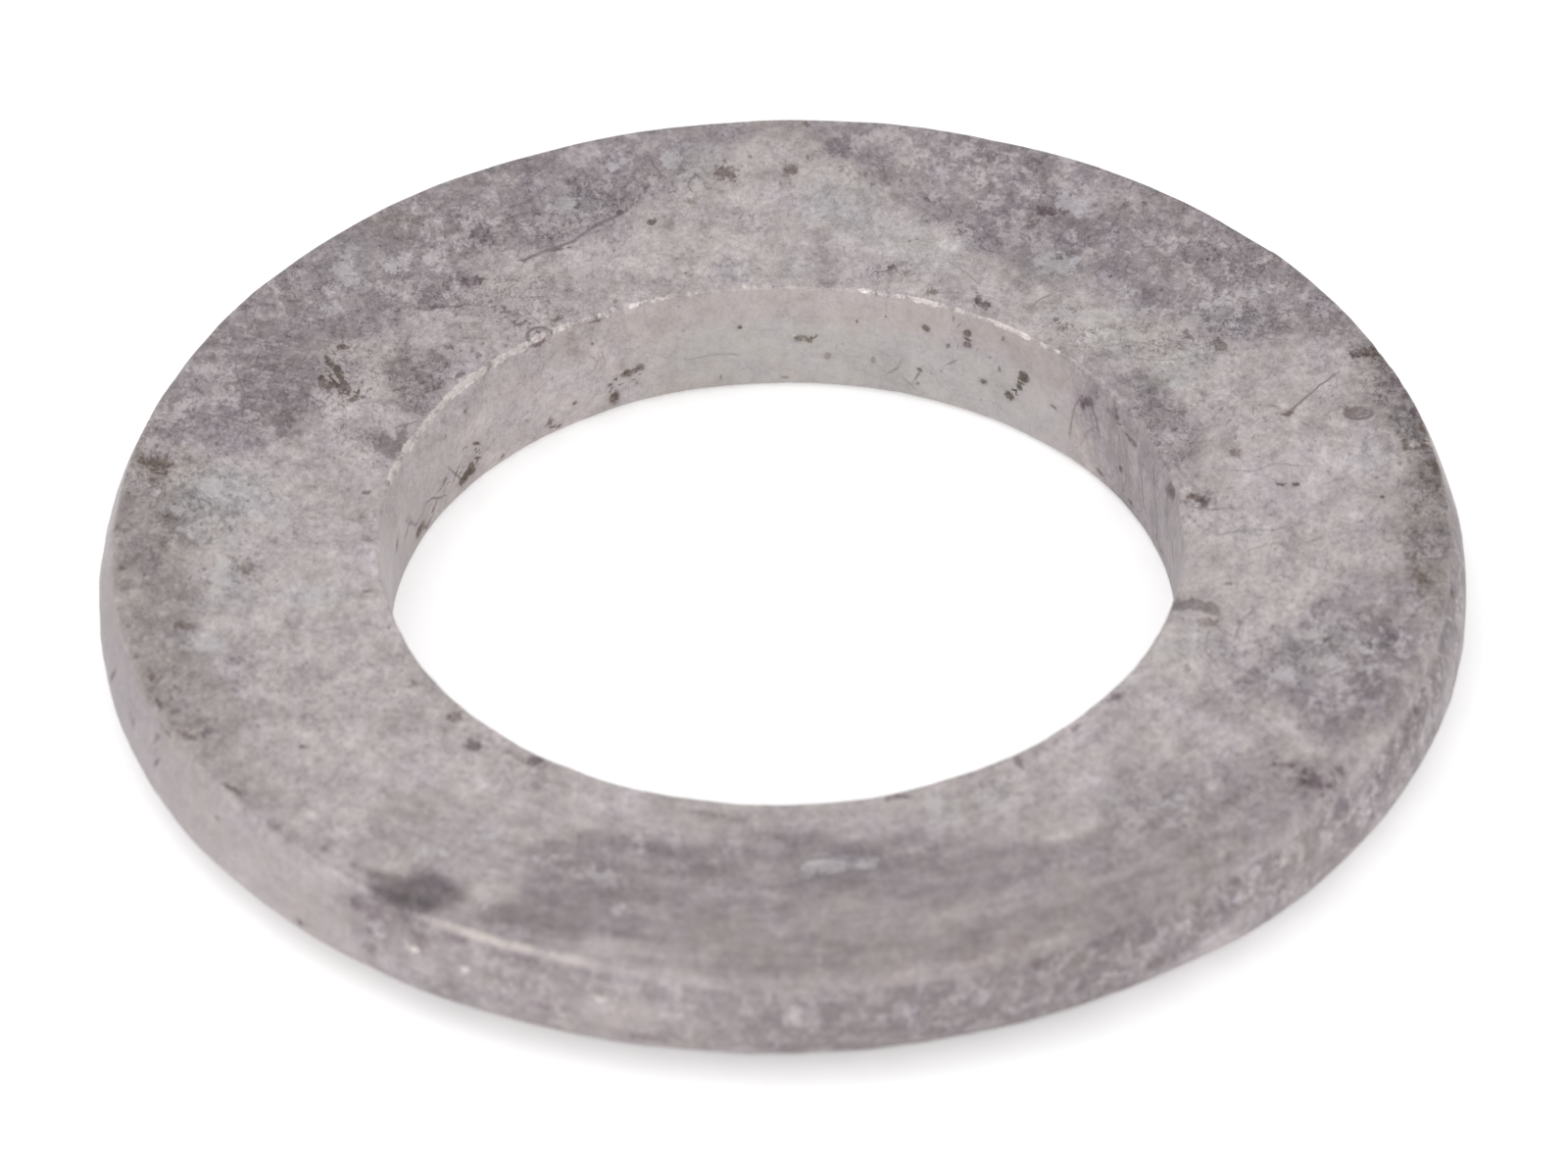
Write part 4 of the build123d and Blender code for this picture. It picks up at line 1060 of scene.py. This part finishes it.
# placed flakes
flake_f = n.mul(n.step(n.add(n.attr("flake"), n.add(n.mul(fine, 0.9), n.mul(multi, 1.7))), -0.06, 0.10), 0.80)
L = n.mixf(flake_f, L, n.add(n.mul(multi, 130.0), n.mixf(0.62, tone_a, 184.0)))

# brushed lines on the left, level hairlines elsewhere
br = n.new("ShaderNodeVectorRotate", rotation_type="Z_AXIS")
n.put(br.inputs["Vector"], raw)
br.inputs["Angle"].default_value = math.radians(22)
brush = mid(n.noise(n.vec("MULTIPLY", br.outputs[0], (0.28, 6.0, 1.0)), 1.0, 2, 0.6))
brush = n.mul(brush, n.attr("brushed"))
L = n.add(L, n.mul(brush, 60.0))
hair = n.step(n.noise(n.vec("MULTIPLY", at(2, 2, 2), (0.35, 5.2, 1.0)), 1.0, 2, 0.55, 0.3), 0.66, 0.73)
L = n.sub(L, n.mul(n.mul(hair, calm_a), 9.0))

# streaks drawn down the bore by the punch
sx = n.new("ShaderNodeVectorMath", operation="MULTIPLY")
n.put(sx.inputs[0], n.vec("ADD", mm, n.vec("SCALE", n.noise(mm, 0.8, 2, 0.6, colour=True), scale=0.5)))
sx.inputs[1].default_value = (1.0, 1.0, 0.16)
strk = mid(n.noise(sx.outputs[0], 3.2, 3, 0.7))
L = n.add(L, n.mul(n.mul(strk, n.attr("streak")), 44.0))
# stains drawn round the ring at the front
sp = n.new("ShaderNodeSeparateXYZ")
n.put(sp.inputs[0], n.vec("ADD", raw, n.vec("SCALE", n.noise(raw, 0.5, 1, 0.5, colour=True), scale=0.6)))
rr = n.math("SQRT", n.add(n.mul(sp.outputs[0], sp.outputs[0]), n.mul(sp.outputs[1], sp.outputs[1])))
turn = n.math("ARCTAN2", sp.outputs[0], n.mul(sp.outputs[1], -1.0))
rc = n.new("ShaderNodeCombineXYZ")
n.put(rc.inputs[0], n.mul(rr, 1.0))
n.put(rc.inputs[1], n.mul(turn, 2.6))
n.put(rc.inputs[2], n.mul(sp.outputs[2], 1.2))
swirl = mid(n.noise(rc.outputs[0], 1.7, 3, 0.62))
L = n.add(L, n.mul(n.mul(swirl, n.attr("swirl")), 62.0))

# tiny pits
vor = n.new("ShaderNodeTexVoronoi", feature="F1")
n.put(vor.inputs["Vector"], mm)
vor.inputs["Scale"].default_value = 1.35
pick = n.new("ShaderNodeSeparateColor")
n.put(pick.inputs[0], vor.outputs["Color"])
pit_f = n.step(n.sub(n.step(pick.outputs[0], 0.70, 1.0, 0.02, 0.12), n.add(vor.outputs["Distance"], n.mul(fine, 0.12))), -0.03, 0.03)
pit_f = n.mul(n.mul(pit_f, n.step(pick.outputs[0], 0.70, 0.74)), calm_a)
L = n.mixf(n.mul(pit_f, 0.62), L, 118.0)

place_y = n.new("ShaderNodeSeparateXYZ")
n.put(place_y.inputs[0], raw)
# placed spots, exact between vertices
loc = n.new("ShaderNodeSeparateXYZ")
n.put(loc.inputs[0], n.attr("spot_local", True))
lr = n.math("SQRT", n.add(n.mul(loc.outputs[0], loc.outputs[0]), n.mul(loc.outputs[1], loc.outputs[1])))
lr = n.add(lr, n.mul(n.add(n.mul(fine, 2.2), n.mul(multi, 4.0)), n.mixf(n.attr("inbore"), 1.0, 0.34)))
near = n.mul(n.step(n.attr("spot"), -0.30, -0.16), loc.outputs[2])
spot_f = n.mul(n.step(lr, 1.25, 0.55), near)
halo = n.mul(n.step(lr, 2.4, 0.9), near)
L = n.mixf(n.mul(halo, 0.22), L, 142.0)
L = n.mixf(n.math("MULTIPLY", spot_f, 0.86, clamp=True), L, n.add(n.step(lr, 1.0, 0.35, 104.0, 88.0), n.mul(multi, 260.0)))

# larger black marks
mark_f = n.step(n.add(n.attr("mark"), n.add(n.mul(fine, 0.9), n.mul(multi, 1.4))), -0.14, 0.12)
L = n.mixf(n.mul(mark_f, 0.78), L, n.mad(multi, 190.0, 108.0))

# lines
ls = n.new("ShaderNodeSeparateXYZ")
n.put(ls.inputs[0], n.attr("line_side", True))
ld = n.math("ABSOLUTE", n.add(ls.outputs[0], n.mul(fine, 0.16)))
line_f = n.mul(n.step(n.sub(ld, ls.outputs[1]), 0.04, -0.02), n.step(n.attr("line"), 0.30, 0.16))
line_f = n.mul(n.mul(line_f, ls.outputs[2]), n.step(multi, -0.10, 0.02, 0.35, 1.0))
L = n.mixf(n.mul(line_f, 0.8), L, 108.0)

# bare bright zinc with painted highlights and glints: burr, worn edge, flecks
burr_highlight_f = n.mul(n.step(n.add(n.attr("burr"), n.add(n.mul(fine, 1.9), n.mul(multi, 2.2))), 0.42, 0.80), n.step(n.attr("burr"), 0.04, 0.22))
wear_and_highlight_f = n.mul(n.mul(n.step(n.add(n.attr("wear_and_highlight"), n.mul(fine, 1.8)), 0.40, 0.85), 0.60), n.step(n.attr("wear_and_highlight"), 0.04, 0.25))
fleck_glint_f = n.step(n.add(n.attr("fleck_glint"), n.mul(fine, 0.08)), -0.03, 0.03)
bright = n.math("MULTIPLY", n.max(n.max(burr_highlight_f, wear_and_highlight_f), fleck_glint_f), 1.0, clamp=True)
L = n.mixf(n.mul(bright, 0.85), L, n.add(n.mad(fine, 70.0, 203.0), n.mul(multi, 120.0)))
L = n.math("MAXIMUM", L, 62.0)

# screen colour from tone and hue: red stands a little above green, blue swings with the hue
hue_v = n.add(n.add(hue_a, n.mul(mid(broad), 5.0)), n.mul(fine, 1.8))
red = n.add(n.add(L, n.mul(n.math("MULTIPLY", spot_f, 1.0, clamp=True), 4.0)), n.sub(8.9, n.mul(n.math("MULTIPLY", n.step(n.add(n.mad(flake_f, 0.45, cool_a), n.mul(mid(broad), 1.2)), 0.1, 0.9), 1.0), 3.2)))
blue = n.add(L, n.math("MINIMUM", n.math("MAXIMUM", n.mad(hue_v, 2.6, 0.4), -4.5), 5.5))
blue = n.mixf(bright, blue, n.sub(L, n.mixf(wear_and_highlight_f, 4.0, 9.0)))
blue = n.mixf(n.math("MULTIPLY", spot_f, 1.0, clamp=True), blue, n.add(L, n.mul(n.step(n.add(hue_v, n.mul(n.step(place_y.outputs[1], -5.0, -10.0), 1.2)), -0.7, 0.4, -7.0, 5.0), 1.0)))
rgb_v = n.new("ShaderNodeCombineXYZ")
n.put(rgb_v.inputs[0], red)
n.put(rgb_v.inputs[1], L)
n.put(rgb_v.inputs[2], blue)
lin = n.vec("SCALE", n.vec("ADD", rgb_v.outputs[0], (14.025, 14.025, 14.025)), scale=1 / (255 * 1.055))
lin = n.vec("SCALE", n.vec("POWER", lin, (2.4, 2.4, 2.4)), scale=1 / LIGHT)
colour = lin

# relief of the grain, in mm, handed on in metres
hgt = n.mul(multi, 0.085)
hgt = n.add(hgt, n.mul(fine, 0.012))
hgt = n.mul(hgt, calm_a)
hgt = n.sub(hgt, n.mul(n.math("MULTIPLY", spot_f, 1.0, clamp=True), 0.012))
hgt = n.sub(hgt, n.mul(pit_f, 0.008))
hgt = n.sub(hgt, n.mul(line_f, 0.010))
hgt = n.add(hgt, n.mul(flake_f, 0.005))
hgt = n.add(hgt, n.mul(bright, 0.008))
bump = n.new("ShaderNodeBump")
bump.inputs["Strength"].default_value = 0.8
bump.inputs["Distance"].default_value = 0.001
n.put(bump.inputs["Height"], hgt)

rough = n.add(n.mixf(dark_f, 0.52, 0.62), n.mul(multi, 1.2))
rough = n.sub(rough, n.mul(flake_f, 0.06))
rough = n.mixf(n.math("MULTIPLY", spot_f, 1.0, clamp=True), rough, 0.72)
rough = n.mixf(bright, rough, 0.34)
rough = n.math("MINIMUM", n.math("MAXIMUM", rough, 0.28), 0.85)
metal = n.mixf(dark_f, 0.40, 0.28)
metal = n.mixf(n.math("MULTIPLY", spot_f, 1.0, clamp=True), metal, 0.1)
metal = n.mixf(bright, metal, 0.55)

bsdf = n.new("ShaderNodeBsdfPrincipled")
n.put(bsdf.inputs["Base Color"], colour)
n.put(bsdf.inputs["Roughness"], rough)
n.put(bsdf.inputs["Metallic"], metal)
n.put(bsdf.inputs["Normal"], bump.outputs[0])
out = n.new("ShaderNodeOutputMaterial")
n.put(out.inputs["Surface"], bsdf.outputs[0])
me.materials.append(n.mat)

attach(piece, "root")
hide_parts("washer")

# ------------------------------------------------------------------ floor
f = Net("plain_floor")
fb = f.new("ShaderNodeBsdfPrincipled")
fm = f.new("ShaderNodeTexCoord").outputs["Object"]
f.put(fb.inputs["Base Color"], f.mix(f.noise(fm, 9.0, 2, 0.5), (0.93, 0.93, 0.93, 1), (0.95, 0.95, 0.95, 1)))
fb.inputs["Roughness"].default_value = 0.9
fb.inputs["Emission Color"].default_value = (1, 1, 1, 1)
fb.inputs["Emission Strength"].default_value = 0.28
fb.inputs["Specular IOR Level"].default_value = 0.1
f.put(f.new("ShaderNodeOutputMaterial").inputs["Surface"], fb.outputs[0])
fmesh = bpy.data.meshes.new("floor")
W = 3.0
fmesh.from_pydata([(-W, -W, -2e-5), (W, -W, -2e-5), (W, W, -2e-5), (-W, W, -2e-5)], [], [(0, 1, 2, 3)])
fmesh.materials.append(f.mat)
floor = bpy.data.objects.new("floor", fmesh)
floor.location = (0, 0.0087, 0)                               # its origin is also where the camera focuses
bpy.context.scene.collection.objects.link(floor)

# ------------------------------------------------------------------ light
world = bpy.data.worlds.new("studio")
bpy.context.scene.world = world
world.use_nodes = True
bg = world.node_tree.nodes["Background"]
bg.inputs["Color"].default_value = (1, 1, 1, 1)
bg.inputs["Strength"].default_value = 0.88


def area(name, place_, size, power, aim=(0, 0, 0.002)):
    lamp = bpy.data.lights.new(name, "AREA")
    lamp.shape = "DISK"
    lamp.size = size
    lamp.energy = power
    o = bpy.data.objects.new(name, lamp)
    o.location = place_
    o.rotation_euler = (Vector(aim) - Vector(place_)).to_track_quat("-Z", "Y").to_euler()
    bpy.context.scene.collection.objects.link(o)
    return o


area("key", (-0.25, 0.10, 0.55), 0.45, 0.55)
area("fill", (0.35, -0.45, 0.40), 0.6, 0.5)
area("front", (-0.12, -0.62, 0.17), 0.4, 1.0)

# ------------------------------------------------------------------ camera
cam_data = bpy.data.cameras.new("camera")
cam_data.lens = 850
cam_data.sensor_width = 36
cam_data.sensor_fit = "HORIZONTAL"
FPX = 850 / 36 * 1600
DIST = FPX / 31.73 / 1000
ELEV, ROLL, OX, OY = math.radians(39.9), -0.0190, -2.4, -46.8
pos = Vector((0, -DIST * math.cos(ELEV), DIST * math.sin(ELEV)))
fwd = -pos.normalized()
right = Vector((1, 0, 0))
up = right.cross(fwd)
pos = pos + Vector((0, 0, T / 1000))


def rx(t): c, s = math.cos(t), math.sin(t); return Matrix(((1, 0, 0), (0, c, -s), (0, s, c)))
def ry(t): c, s = math.cos(t), math.sin(t); return Matrix(((c, 0, s), (0, 1, 0), (-s, 0, c)))
def rz(t): c, s = math.cos(t), math.sin(t); return Matrix(((c, -s, 0), (s, c, 0), (0, 0, 1)))


M = rx(-math.atan(OY / FPX)) @ ry(math.atan(OX / FPX)) @ rz(ROLL) @ Matrix((right, -up, fwd))
cam = bpy.data.objects.new("camera", cam_data)
bpy.context.scene.collection.objects.link(cam)
rot = Matrix((M[0], -M[1], -M[2])).transposed()
cam.matrix_world = Matrix.Translation(pos) @ rot.to_4x4()
cam_data.dof.use_dof = True                                   # the front of the ring lies out of focus
cam_data.dof.focus_object = floor
cam_data.dof.focus_distance = (floor.location - pos).dot(fwd)
cam_data.dof.aperture_fstop = 84.0
cam_data.clip_start = 0.05
cam_data.clip_end = 20
bpy.context.scene.camera = cam
bpy.context.scene.view_settings.view_transform = "Standard"
